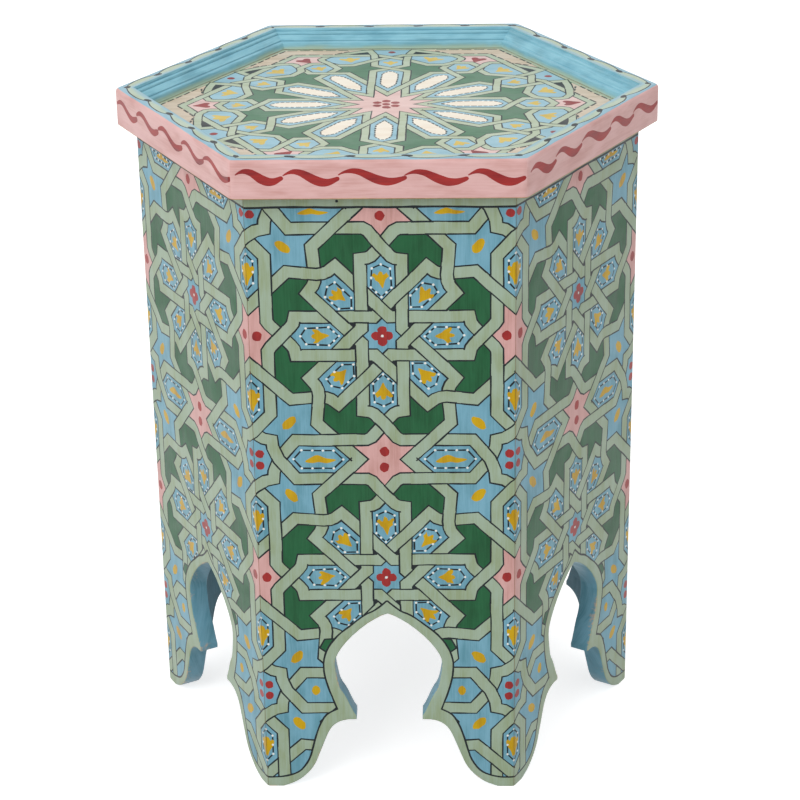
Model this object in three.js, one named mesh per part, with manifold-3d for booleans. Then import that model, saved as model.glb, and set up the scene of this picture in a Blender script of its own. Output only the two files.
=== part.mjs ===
// Six-sided Moroccan stool with a tray top: side panels mitred at the corners and sawn into arched feet,
// a board laid over them, and a mitred frame of mouldings round its edge. Millimetres, +Z up.
// The origin is on the floor at the stool's axis, and one side faces -Y.

import * as THREE from 'three';
import { mergeVertices } from 'three/addons/utils/BufferGeometryUtils.js';
import Module from 'manifold-3d';

const wasm = await Module();
wasm.setup();

// The whole stool
const sideCount = 6;
const totalHeight = 500;
const bodyAcrossFlats = 322;
const jointGap = 0.3;
const cutOverrun = 5;

// Side panels and their arches
const panelThickness = 15;
const footWidth = 12;
const archRise = 148;
const archHalfWidth = 39.6;
const cuspHalfWidth = 24.6;
const cuspRise = 58.4;
const cuspFace = 3.6;

// Tray board and the frame of mouldings
const boardThickness = 10;
const trayDepth = 14.2;
const rimOverhang = 12.2;
const rimHeight = 28;
const rimFlatWidth = 12;
const rimSlopeWidth = 12;
const rimEdgeRadius = 1.5;

// Cleats under the board and blocks in the corners
const cleatDepth = 15;
const cleatHeight = 18;
const cleatEndClearance = 2;
const blockLeg = 24;
const blockBack = 8;
const blockHeight = 150;

// Nails through the panels and the rim, and screws through the cleats
const nailLength = 26;
const nailShankRadius = 1.1;
const nailHeadRadius = 1.9;
const nailHeadThickness = 1;
const nailTipLength = 3;
const nailSides = 10;
const panelNailSpacing = 58;
const rimNailSpacing = 120;
const screwLength = 24.5;
const screwShankRadius = 1.7;
const screwHeadRadius = 3.4;
const screwHeadHeight = 2.2;
const screwTipLength = 4;
const screwSides = 12;

// Smoothness of curves
const archSegments = 2;
const edgeSegments = 3;

// The arch from cusp to widest point: share of the way out, share of the way up from cusp to apex
const lobeShares = [[0.16, 0.047], [0.493, 0.186], [0.76, 0.267], [0.893, 0.36], [1, 0.512]];
// From there to the apex: share of the arch's half width, share of the way up from cusp to apex
const shoulderShares = [[0.934, 0.616], [0.732, 0.749], [0.429, 0.884], [0.152, 0.97]];
// The foot's inner edge: share of the way from cusp to foot, share of the cusp's height
const footShares = [
  [0.113, 0.997], [0.22, 0.969], [0.309, 0.908], [0.369, 0.822], [0.415, 0.719],
  [0.521, 0.445], [0.574, 0.325], [0.645, 0.223], [0.752, 0.12], [0.858, 0.055],
];
// The rim's inner slope down to the tray: share of its width, share of its depth
const slopeShares = [
  [0, 0], [0.06, 0.2], [0.24, 0.27], [0.3, 0.41], [0.46, 0.53], [0.72, 0.68], [0.88, 0.74], [0.91, 0.9], [1, 1],
];

// Sizes that follow from the ones above
const sector = (2 * Math.PI) / sideCount;
const bodyApothem = bodyAcrossFlats / 2;
const insideApothem = bodyApothem - panelThickness;
const rimApothem = bodyApothem + rimOverhang;
const halfSide = (apothem) => apothem * Math.tan(sector / 2);
const cornerRadius = (apothem) => apothem / Math.cos(sector / 2);
const boardTop = totalHeight - trayDepth;
const boardUnderside = boardTop - boardThickness;
const panelTop = boardUnderside - jointGap;
const rimBottom = totalHeight - rimHeight;
const rimNailHeight = boardUnderside + boardThickness / 2;
const cleatTop = panelTop;
const cleatNailHeight = cleatTop - cleatHeight / 2;
const cleatApothem = insideApothem - jointGap - cleatDepth / 2;
const blockReach = blockLeg + blockBack * Math.cos((Math.PI - sector) / 2);
const cleatLength = 2 * (halfSide(insideApothem) - blockReach - cleatEndClearance);

const paintedPanel = new THREE.MeshStandardMaterial({ color: 0x8fa98a, roughness: 0.55, metalness: 0 });
const paintedTray = new THREE.MeshStandardMaterial({ color: 0x6f9a80, roughness: 0.5, metalness: 0 });
const paintedRim = new THREE.MeshStandardMaterial({ color: 0xdbb0ac, roughness: 0.55, metalness: 0 });
const bareWood = new THREE.MeshStandardMaterial({ color: 0xb58a5c, roughness: 0.8, metalness: 0 });
const steel = new THREE.MeshStandardMaterial({ color: 0x8d8f92, roughness: 0.4, metalness: 0.9 });

const stool = new THREE.Group();
stool.name = 'stool';

function solidFrom(geometry) {
  const bare = geometry.clone();
  bare.deleteAttribute('normal');
  bare.deleteAttribute('uv');
  const merged = mergeVertices(bare);
  return new wasm.Manifold(new wasm.Mesh({
    numProp: 3,
    vertProperties: new Float32Array(merged.attributes.position.array),
    triVerts: new Uint32Array(merged.index.array),
  }));
}

function geometryFrom(solid) {
  const mesh = solid.getMesh();
  const geometry = new THREE.BufferGeometry();
  geometry.setAttribute('position', new THREE.BufferAttribute(new Float32Array(mesh.vertProperties), 3));
  geometry.setIndex(new THREE.BufferAttribute(new Uint32Array(mesh.triVerts), 1));
  geometry.computeVertexNormals();
  return geometry;
}

function shapeThrough(points) {
  return new THREE.Shape(points.map(([x, y]) => new THREE.Vector2(x, y)));
}

// Everything between two planes through the stool's axis, half a joint short of the mitres of the -Y side
function mitreWedge(reach) {
  const tip = jointGap / 2 / Math.sin(sector / 2);
  const far = reach + cutOverrun;
  const halfFar = (far - tip) * Math.tan(sector / 2);
  const plan = shapeThrough([[0, -tip], [-halfFar, -far], [halfFar, -far]]);
  const wedge = new THREE.ExtrudeGeometry(plan, { depth: totalHeight + 2 * cutOverrun, bevelEnabled: false });
  return solidFrom(wedge.translate(0, 0, -cutOverrun));
}

// A pin standing on its tip along +Y, with the given [radius, height] profile, grown by clearance for its hole
function pin(profile, sides) {
  const points = profile.map(([radius, height]) => new THREE.Vector2(radius, height));
  return new THREE.LatheGeometry(points, sides);
}

function nailProfile(clearance) {
  const shank = nailShankRadius + clearance;
  const head = nailHeadRadius + clearance;
  const headStart = nailLength - nailHeadThickness - clearance;
  const top = nailLength + (clearance > 0 ? cutOverrun : 0);
  return [[0, -clearance], [shank, nailTipLength - clearance], [shank, headStart], [head, headStart], [head, top],
    [0, top]];
}

function screwProfile(clearance) {
  const shank = screwShankRadius + clearance;
  const head = screwHeadRadius + clearance;
  const headStart = screwLength - screwHeadHeight - clearance;
  const headRim = screwLength - clearance;
  const top = screwLength + (clearance > 0 ? cutOverrun : 0);
  const profile = [[0, -clearance], [shank, screwTipLength - clearance], [shank, headStart], [head, headRim]];
  return clearance > 0 ? [...profile, [head, top], [0, top]] : [...profile, [0, top]];
}

// Nails of the -Y side: head flush with the face at faceApothem, tip towards the axis
function placeNail(geometry, across, faceApothem, height) {
  return geometry.rotateX(Math.PI).translate(across, nailLength - faceApothem, height);
}

// Screws of the -Y side: head flush with the cleat's underside, tip up in the board
function placeScrew(geometry) {
  return geometry.rotateX(-Math.PI / 2).translate(0, -cleatApothem, cleatTop - cleatHeight + screwLength);
}

const panelNailPlaces = [-panelNailSpacing / 2, panelNailSpacing / 2];
const rimNailPlaces = [-rimNailSpacing / 2, rimNailSpacing / 2];
const panelNail = (across, clearance) =>
  placeNail(pin(nailProfile(clearance), nailSides), across, bodyApothem, cleatNailHeight);
const rimNail = (across, clearance) =>
  placeNail(pin(nailProfile(clearance), nailSides), across, rimApothem, rimNailHeight);
const cleatScrew = (clearance) => placeScrew(pin(screwProfile(clearance), screwSides));

function cutAway(solid, cutters) {
  return cutters.reduce((left, cutter) => left.subtract(solidFrom(cutter)), solid);
}

function archHalf(side) {
  const lobeBottom = cuspRise + cuspFace;
  const lobeRise = archRise - lobeBottom;
  const lobe = lobeShares.map(([out, up]) => new THREE.Vector2(
    side * (cuspHalfWidth + out * (archHalfWidth - cuspHalfWidth)), lobeBottom + up * lobeRise));
  const shoulder = shoulderShares.map(([out, up]) => new THREE.Vector2(
    side * out * archHalfWidth, lobeBottom + up * lobeRise));
  const footInner = halfSide(bodyApothem) - footWidth;
  const foot = footShares.map(([out, up]) => new THREE.Vector2(
    side * (cuspHalfWidth + out * (footInner - cuspHalfWidth)), up * cuspRise));
  return {
    footTip: new THREE.Vector2(side * footInner, 0),
    foot,
    cuspFoot: new THREE.Vector2(side * cuspHalfWidth, cuspRise),
    cuspTip: new THREE.Vector2(side * cuspHalfWidth, lobeBottom),
    lobe: [...lobe, ...shoulder, new THREE.Vector2(0, archRise)],
  };
}

// A panel seen from outside: feet, cusps and the pointed arch between them
function panelOutline() {
  const left = archHalf(-1);
  const right = archHalf(1);
  const half = halfSide(bodyApothem);
  const outline = new THREE.Shape();
  outline.moveTo(-half, 0);
  outline.lineTo(left.footTip.x, left.footTip.y);
  outline.splineThru([...left.foot].reverse());
  outline.lineTo(left.cuspFoot.x, left.cuspFoot.y);
  outline.lineTo(left.cuspTip.x, left.cuspTip.y);
  outline.splineThru(left.lobe);
  outline.splineThru([...right.lobe.slice(0, -1).reverse(), right.cuspTip]);
  outline.lineTo(right.cuspFoot.x, right.cuspFoot.y);
  outline.splineThru([...right.foot, right.footTip]);
  outline.lineTo(half, 0);
  outline.lineTo(half, panelTop);
  outline.lineTo(-half, panelTop);
  outline.closePath();
  return outline;
}

function sidePanel() {
  const slab = new THREE.ExtrudeGeometry(panelOutline(), {
    depth: panelThickness, curveSegments: archSegments, bevelEnabled: false,
  });
  slab.rotateX(Math.PI / 2).translate(0, -insideApothem, 0);
  const mitred = solidFrom(slab).intersect(mitreWedge(bodyApothem));
  return geometryFrom(cutAway(mitred, panelNailPlaces.map((across) => panelNail(across, jointGap))));
}

function rimProfile() {
  const slopeTop = rimApothem - rimFlatWidth;
  const lipUnderside = boardTop + jointGap;
  const slopeDrop = totalHeight - lipUnderside;
  const rebate = bodyApothem + jointGap;
  const profile = new THREE.Shape();
  profile.moveTo(rebate, rimBottom);
  profile.lineTo(rimApothem, rimBottom);
  profile.lineTo(rimApothem, totalHeight - rimEdgeRadius);
  profile.absarc(rimApothem - rimEdgeRadius, totalHeight - rimEdgeRadius, rimEdgeRadius, 0, Math.PI / 2);
  slopeShares.forEach(([run, drop]) => {
    profile.lineTo(slopeTop - run * rimSlopeWidth, totalHeight - drop * slopeDrop);
  });
  profile.lineTo(rebate, lipUnderside);
  profile.closePath();
  return profile;
}

function rimMoulding() {
  const length = 2 * (halfSide(rimApothem) + cutOverrun);
  const bar = new THREE.ExtrudeGeometry(rimProfile(), {
    depth: length, curveSegments: edgeSegments, bevelEnabled: false,
  });
  bar.translate(0, 0, -length / 2);
  const inward = new THREE.Vector3(0, -1, 0);
  const upward = new THREE.Vector3(0, 0, 1);
  bar.applyMatrix4(new THREE.Matrix4().makeBasis(inward, upward, new THREE.Vector3(-1, 0, 0)));
  const mitred = solidFrom(bar).intersect(mitreWedge(rimApothem));
  return geometryFrom(cutAway(mitred, rimNailPlaces.map((across) => rimNail(across, jointGap))));
}

function turnedAboutAxis(geometry, index) {
  return geometry.clone().rotateZ(index * sector);
}

function trayBoard() {
  const radius = cornerRadius(bodyApothem);
  const corners = Array.from({ length: sideCount }, (_, index) => {
    const angle = (index + 0.5) * sector - Math.PI / 2;
    return [radius * Math.cos(angle), radius * Math.sin(angle)];
  });
  const slab = new THREE.ExtrudeGeometry(shapeThrough(corners), { depth: boardThickness, bevelEnabled: false });
  slab.translate(0, 0, boardUnderside);
  const fixings = [...rimNailPlaces.map((across) => rimNail(across, jointGap)), cleatScrew(jointGap)];
  const holes = Array.from({ length: sideCount }, (_, index) => index)
    .flatMap((index) => fixings.map((fixing) => turnedAboutAxis(fixing, index)));
  return geometryFrom(cutAway(solidFrom(slab), holes));
}

function topCleat() {
  const bar = new THREE.BoxGeometry(cleatLength, cleatDepth, cleatHeight);
  bar.translate(0, -cleatApothem, cleatTop - cleatHeight / 2);
  const holes = [...panelNailPlaces.map((across) => panelNail(across, jointGap)), cleatScrew(jointGap)];
  return geometryFrom(cutAway(solidFrom(bar), holes));
}

// A glued block filling the corner that lies half a sector on from the -Y side
function cornerBlock() {
  const corner = cornerRadius(insideApothem - jointGap);
  const legRun = blockLeg * Math.cos((Math.PI - sector) / 2);
  const legReach = blockLeg * Math.sin((Math.PI - sector) / 2);
  const back = corner - legRun - blockBack;
  const plan = shapeThrough([
    [corner, 0], [corner - legRun, legReach], [back, legReach], [back, -legReach], [corner - legRun, -legReach],
  ]);
  const block = new THREE.ExtrudeGeometry(plan, { depth: blockHeight, bevelEnabled: false });
  block.translate(0, 0, cleatTop - blockHeight);
  return block.rotateZ(sector / 2 - Math.PI / 2);
}

function addPiece(parent, name, geometry, material) {
  const mesh = new THREE.Mesh(geometry, material);
  mesh.name = name;
  parent.add(mesh);
}

addPiece(stool, 'top_board', trayBoard(), paintedTray);

const panelGeometry = sidePanel();
const mouldingGeometry = rimMoulding();
const cleatGeometry = topCleat();
const blockGeometry = cornerBlock();

for (let index = 0; index < sideCount; index += 1) {
  const side = new THREE.Group();
  const number = index + 1;
  side.rotation.z = index * sector;
  addPiece(side, `side_panel_${number}`, panelGeometry, paintedPanel);
  addPiece(side, `rim_moulding_${number}`, mouldingGeometry, paintedRim);
  addPiece(side, `top_cleat_${number}`, cleatGeometry, bareWood);
  addPiece(side, `corner_block_${number}`, blockGeometry, bareWood);
  addPiece(side, `cleat_screw_${number}`, cleatScrew(0), steel);
  panelNailPlaces.forEach((across, place) => {
    addPiece(side, `panel_nail_${number}_${place + 1}`, panelNail(across, 0), steel);
  });
  rimNailPlaces.forEach((across, place) => {
    addPiece(side, `rim_nail_${number}_${place + 1}`, rimNail(across, 0), steel);
  });
  stool.add(side);
}

export default stool;
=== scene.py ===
"""A hexagonal Moroccan stool of painted wood: arched side panels, a recessed tray and a frame of mouldings.

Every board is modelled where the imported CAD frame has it. The zellij painting is part of each board's own
mesh: the face is split along every brushed edge, so each paint pot is a material and each line stays sharp.
"""

import math
import random

import bmesh
import bpy
from mathutils import Matrix, Vector, noise
from mathutils.geometry import delaunay_2d_cdt


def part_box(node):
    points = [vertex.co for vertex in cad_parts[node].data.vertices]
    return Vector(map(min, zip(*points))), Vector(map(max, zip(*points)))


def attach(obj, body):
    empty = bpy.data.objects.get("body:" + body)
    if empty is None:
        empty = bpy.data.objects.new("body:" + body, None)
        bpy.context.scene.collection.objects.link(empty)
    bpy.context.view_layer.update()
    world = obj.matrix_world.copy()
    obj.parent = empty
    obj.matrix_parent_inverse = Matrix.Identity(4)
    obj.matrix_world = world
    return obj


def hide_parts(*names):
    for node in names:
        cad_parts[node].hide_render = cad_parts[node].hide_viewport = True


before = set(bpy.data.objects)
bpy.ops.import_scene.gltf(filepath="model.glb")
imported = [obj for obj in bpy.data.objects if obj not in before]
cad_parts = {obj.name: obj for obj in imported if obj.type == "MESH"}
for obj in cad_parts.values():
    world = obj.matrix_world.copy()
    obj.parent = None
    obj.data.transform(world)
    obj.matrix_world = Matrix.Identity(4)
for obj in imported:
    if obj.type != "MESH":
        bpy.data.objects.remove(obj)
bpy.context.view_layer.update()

# Without a seed of its own, the noise behind the unsteady hand starts from the clock
HAND_SEED = 1
noise.seed_set(HAND_SEED)

# Sizes read from the frame
SIDES = 6
SECTOR = math.tau / SIDES
panel_low, panel_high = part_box("side_panel_1")
rim_low, rim_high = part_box("rim_moulding_1")
board_low, board_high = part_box("top_board")
FACE = -panel_low[1]
PANEL_THICKNESS = panel_high[1] - panel_low[1]
PANEL_TOP = panel_high[2]
RIM_FACE = -rim_low[1]
RIM_TOP = rim_high[2]
RIM_BOTTOM = rim_low[2]
RIM_LIP = -rim_high[1]
TRAY = board_high[2]
BOARD_UNDER = board_low[2]
HEIGHT = RIM_TOP


def half_side(apothem):
    return apothem * math.tan(SECTOR / 2)


HALF = half_side(FACE)

# Camera, as worked out from the hexagon's corners in the photograph
CAMERA_AZIMUTH = math.radians(1.912)
CAMERA_ELEVATION = math.radians(23.791)
CAMERA_ROLL = math.radians(-0.959)
CAMERA_DISTANCE = 3.7748 * HEIGHT
CAMERA_ASIDE = 0.0127 * HEIGHT
CAMERA_AIM = 0.4956 * HEIGHT
CAMERA_LENS = 109.6
SENSOR_WIDTH = 36.0


def place_camera():
    """Stands back along the view line, then rolls about it."""
    turn, lift = CAMERA_AZIMUTH, CAMERA_ELEVATION
    back = Vector((math.sin(turn) * math.cos(lift), -math.cos(turn) * math.cos(lift), math.sin(lift)))
    target = Vector((CAMERA_ASIDE * math.cos(turn), CAMERA_ASIDE * math.sin(turn), CAMERA_AIM))
    right = (-back).cross(Vector((0, 0, 1))).normalized()
    up = right.cross(-back)
    rolled_right = right * math.cos(CAMERA_ROLL) + up * math.sin(CAMERA_ROLL)
    rolled_up = up * math.cos(CAMERA_ROLL) - right * math.sin(CAMERA_ROLL)
    data = bpy.data.cameras.new("camera")
    data.sensor_width = SENSOR_WIDTH
    data.lens = CAMERA_LENS
    camera = bpy.data.objects.new("camera", data)
    turned = Matrix((rolled_right, rolled_up, back)).transposed().to_4x4()
    camera.matrix_world = Matrix.Translation(target + back * CAMERA_DISTANCE) @ turned
    bpy.context.scene.collection.objects.link(camera)
    bpy.context.scene.camera = camera


def srgb(red, green, blue):
    """A colour as read off the photograph, in the linear values that shaders take."""
    def linear(value):
        value /= 255
        return value / 12.92 if value <= 0.04045 else ((value + 0.055) / 1.055) ** 2.4
    return linear(red), linear(green), linear(blue), 1.0


# Brush and pattern helpers
BRUSH_STEP = 0.0035
FILL_SPACING = 0.008
OUTLINE_HALF_WIDTH = 0.00057
SMALLEST_PATCH = 1e-9
PANEL_WANDER = 0.0005
TRAY_WANDER = 0.0007
WANDERS_A_METRE = 38
TREMBLE = 0.00016
TREMBLES_A_METRE = 150
WAVERS_A_METRE = 110
SHARPEST_BEND = 0.42
LARGE_DAB = 0.002
CROSSING_SLACK = 0.003


def between(a, b, share):
    return a[0] + (b[0] - a[0]) * share, a[1] + (b[1] - a[1]) * share


def distance(a, b):
    return math.hypot(b[0] - a[0], b[1] - a[1])


def walked(points, closed=False, step=BRUSH_STEP):
    """The same straight legs, with points no further apart than a step."""
    path = []
    legs = len(points) if closed else len(points) - 1
    for i in range(legs):
        start, end = points[i], points[(i + 1) % len(points)]
        count = max(1, math.ceil(distance(start, end) / step))
        path += [between(start, end, k / count) for k in range(count)]
    if not closed:
        path.append(tuple(points[-1]))
    return path


def curved(points, closed=False, pieces=4):
    """A smooth curve through the points."""
    count = len(points)
    path = []
    for i in range(count if closed else count - 1):
        if closed:
            around = [points[(i + k) % count] for k in (-1, 0, 1, 2)]
        else:
            around = [points[min(max(i + k, 0), count - 1)] for k in (-1, 0, 1, 2)]
        for k in range(pieces):
            t = k / pieces
            weights = (
                (-t + 2 * t * t - t ** 3) / 2,
                (2 - 5 * t * t + 3 * t ** 3) / 2,
                (t + 4 * t * t - 3 * t ** 3) / 2,
                (t ** 3 - t * t) / 2,
            )
            axes = range(len(points[0]))
            path.append(tuple(sum(w * p[axis] for w, p in zip(weights, around)) for axis in axes))
    if not closed:
        path.append(tuple(points[-1]))
    return path


def area(points):
    total = 0.0
    for a, b in zip(points, points[1:] + points[:1]):
        total += a[0] * b[1] - b[0] * a[1]
    return total / 2


def side_steps(path, closed=False):
    """For each point of a path, the step to its left that keeps a parallel line parallel round the bends."""
    steps = []
    last = len(path) - 1
    for i, point in enumerate(path):
        before = path[i - 1] if i > 0 or closed else None
        after = path[(i + 1) % len(path)] if i < last or closed else None
        ways = []
        for start, end in ((before, point), (point, after)):
            if start is not None and end is not None and distance(start, end) > 1e-9:
                length = distance(start, end)
                ways.append(((end[0] - start[0]) / length, (end[1] - start[1]) / length))
        along = (sum(w[0] for w in ways), sum(w[1] for w in ways))
        length = math.hypot(*along) or 1.0
        along = (along[0] / length, along[1] / length)
        stretch = 1 / max(SHARPEST_BEND, along[0] * ways[0][0] + along[1] * ways[0][1])
        steps.append((-along[1] * stretch, along[0] * stretch))
    return steps


def inset(points, gap):
    """A closed outline drawn again inside itself."""
    if area(points) < 0:
        points = points[::-1]
    return [(p[0] + s[0] * gap, p[1] + s[1] * gap) for p, s in zip(points, side_steps(points, closed=True))]


def two_sided(shares):
    """A shape that is the same on both sides of its axis, from the points of one side."""
    return shares + [(-x, y) for x, y in reversed(shares) if x]


def open_rings(faces):
    """The rings of edges that only one face has, each in order."""
    links = {}
    for face in faces:
        for a, b in zip(face, face[1:] + face[:1]):
            if (b, a) in links:
                del links[(b, a)]
            else:
                links[(a, b)] = True
    follow = dict(links.keys())
    rings = []
    while follow:
        ring = [next(iter(follow))]
        while follow[ring[-1]] != ring[0]:
            ring.append(follow[ring[-1]])
        for spot in ring:
            del follow[spot]
        rings.append(ring)
    return rings


def joined(first, second):
    """Four-sided faces between two rings of points."""
    after = zip(first[1:] + first[:1], second[1:] + second[:1])
    return [(c, a, b, d) for a, b, (c, d) in zip(first, second, after)]


def side_ways(number):
    """The way out from a side of the hexagon, and the way along it."""
    angle = -math.pi / 2 + number * SECTOR
    outward = Vector((math.cos(angle), math.sin(angle), 0))
    return outward, Vector((-outward[1], outward[0], 0))


def moved(points, centre, turn=0.0, size=1.0):
    c, s = math.cos(turn) * size, math.sin(turn) * size
    return [(centre[0] + c * x - s * y, centre[1] + s * x + c * y) for x, y in points]


class Painting:
    """Flat shapes laid one over another. What lies last on a spot is the paint that shows there."""

    def __init__(self, seed):
        self.dice = random.Random(seed)
        self.layers = {}
        self.offset = Vector((0, 0, seed * 3.1))
        self.wander = PANEL_WANDER

    def unsteady(self, point):
        """Where a hand that means this point puts the brush."""
        spot = Vector((point[0], point[1], 0)) + self.offset
        slow = noise.noise_vector(spot * WANDERS_A_METRE) * self.wander
        quick = noise.noise_vector(spot * TREMBLES_A_METRE) * TREMBLE
        return point[0] + slow[0] + quick[0], point[1] + slow[1] + quick[1]

    def lay(self, layer, paint, corners, steady=False):
        if not steady:
            corners = [self.unsteady(point) for point in corners]
        size = area(corners)
        if abs(size) < SMALLEST_PATCH:
            return
        self.layers.setdefault(layer, []).append((paint, corners if size > 0 else corners[::-1]))

    def fill(self, layer, paint, outline, steady=False):
        self.lay(layer, paint, walked(outline, closed=True), steady)

    def strip(self, layer, paint, left, right):
        """A run of four-sided patches between two lines of points."""
        for i in range(len(left) - 1):
            patch = [left[i], left[i + 1], right[i + 1], right[i]]
            if area([left[i], left[i + 1], right[i + 1]]) * area([left[i], right[i + 1], right[i]]) > 0:
                self.lay(layer, paint, patch)
            else:
                self.lay(layer, paint, patch[:3])
                self.lay(layer, paint, [patch[0], patch[2], patch[3]])

    def stroke(self, layer, paint, path, half_width, taper=0.0):
        """A brushed line whose width wavers, and thins out towards its ends by the taper."""
        path = walked(path)
        count = len(path) - 1
        left, right = [], []
        for i, (point, step) in enumerate(zip(path, side_steps(path))):
            spot = Vector((point[0], point[1], 0)) + self.offset
            half = half_width * (1 + 0.3 * noise.noise(spot * WAVERS_A_METRE))
            half *= 1 - taper * abs(2 * (i / count) - 1) ** 3
            left.append((point[0] + step[0] * half, point[1] + step[1] * half))
            right.append((point[0] - step[0] * half, point[1] - step[1] * half))
        self.strip(layer, paint, left, right)

    def swash(self, layer, paint, path):
        """A curved stroke that swells and thins. Each point has its place and the brush's half width."""
        path = curved(path, pieces=5)
        steps = side_steps([point[:2] for point in path])
        left = [(p[0] + s[0] * p[2], p[1] + s[1] * p[2]) for p, s in zip(path, steps)]
        right = [(p[0] - s[0] * p[2], p[1] - s[1] * p[2]) for p, s in zip(path, steps)]
        self.strip(layer, paint, left, right)

    def dab(self, layer, paint, centre, radius, longer=1.0, turn=0.0):
        """A round or oval touch of the brush, never quite round."""
        count = 14 if radius > LARGE_DAB else 8
        start = self.dice.uniform(0, math.tau)
        ring = []
        for k in range(count):
            angle = start + math.tau * k / count
            out = radius * (1 + self.dice.uniform(-0.09, 0.09))
            ring.append((out * longer * math.cos(angle), out * math.sin(angle)))
        self.lay(layer, paint, moved(ring, centre, turn))

    def dashes(self, layer, path, closed, pitch, half_width, dot):
        """Dots at the corners of a line and at an even pitch on its legs, with a dash between each two."""
        path = path + path[:1] if closed else path
        for start, end in zip(path, path[1:]):
            length = distance(start, end)
            count = max(1, round(length / pitch))
            room = (dot or pitch * 0.1) + self.dice.uniform(0.0, 0.0004)
            for k in range(count):
                low = k / count + room / length
                high = (k + 1) / count - room / length
                if high > low:
                    dash = [between(start, end, low), between(start, end, high)]
                    self.stroke(layer, "ink", dash, half_width)
                if dot:
                    self.dab(layer + "_dots", "white", between(start, end, k / count), dot)


def off_line(point, line):
    """How far a point lies from the nearest leg of a line."""
    nearest = math.inf
    for a, b in zip(line, line[1:]):
        run = (b[0] - a[0], b[1] - a[1])
        size = run[0] ** 2 + run[1] ** 2 or 1.0
        share = ((point[0] - a[0]) * run[0] + (point[1] - a[1]) * run[1]) / size
        nearest = min(nearest, distance(point, between(a, b, min(max(share, 0.0), 1.0))))
    return nearest


def lay_straps(painting, straps, half_width, line_half_width):
    """Outlined straps that pass over and under each other.

    Each strap is its line of points and its crossings, told by their place and if this strap passes over
    there. Its outlines lie on top only inside the strap that it crosses.
    """
    reach = 3.6 * half_width
    edge = half_width + line_half_width * 1.4
    tucked = half_width - line_half_width * 0.6
    for line, crossings in straps:
        bridges = []
        for spot, over in crossings:
            if over:
                for other, _ in straps:
                    near = [point for point in other if distance(point, spot) < 6 * half_width]
                    if other is not line and len(near) > 1 and off_line(spot, near) < CROSSING_SLACK:
                        bridges.append((spot, near))
        steps = side_steps(line)

        def on_top(point):
            return any(distance(point, s) < reach and off_line(point, near) < edge for s, near in bridges)

        def shifted(gap):
            return [(p[0] + s[0] * gap, p[1] + s[1] * gap) for p, s in zip(line, steps)]

        whole = shifted(half_width), shifted(-half_width)
        slim = shifted(tucked), shifted(-tucked)
        for i in range(len(line) - 1):
            corners = whole[0][i : i + 2] + whole[1][i : i + 2] + [between(line[i], line[i + 1], 0.5)]
            over = any(on_top(corner) for corner in corners)
            left, right = slim if over else whole
            layer = "over_straps" if over else "under_straps"
            painting.strip(layer, "sage", left[i : i + 2], right[i : i + 2])
        for side in (half_width, -half_width):
            outer, inner = [], []
            for point, step in zip(line, steps):
                spot = Vector((point[0], point[1], side)) + painting.offset
                half = line_half_width * (1 + 0.4 * noise.noise(spot * WAVERS_A_METRE))
                outer.append((point[0] + step[0] * (side + half), point[1] + step[1] * (side + half)))
                inner.append((point[0] + step[0] * (side - half), point[1] + step[1] * (side - half)))
            middle = [between(a, b, 0.5) for a, b in zip(outer, inner)]
            for i in range(len(line) - 1):
                parts = 5
                levels = [on_top(between(middle[i], middle[i + 1], (k + 0.5) / parts)) for k in range(parts)]
                start = 0
                for k in range(1, parts + 1):
                    if k == parts or levels[k] != levels[start]:
                        ends = start / parts, k / parts
                        painting.strip(
                            "over_lines" if levels[start] else "under_lines",
                            "ink",
                            [between(outer[i], outer[i + 1], end) for end in ends],
                            [between(inner[i], inner[i + 1], end) for end in ends],
                        )
                        start = k


SORTING_SQUARE = 0.004


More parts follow.
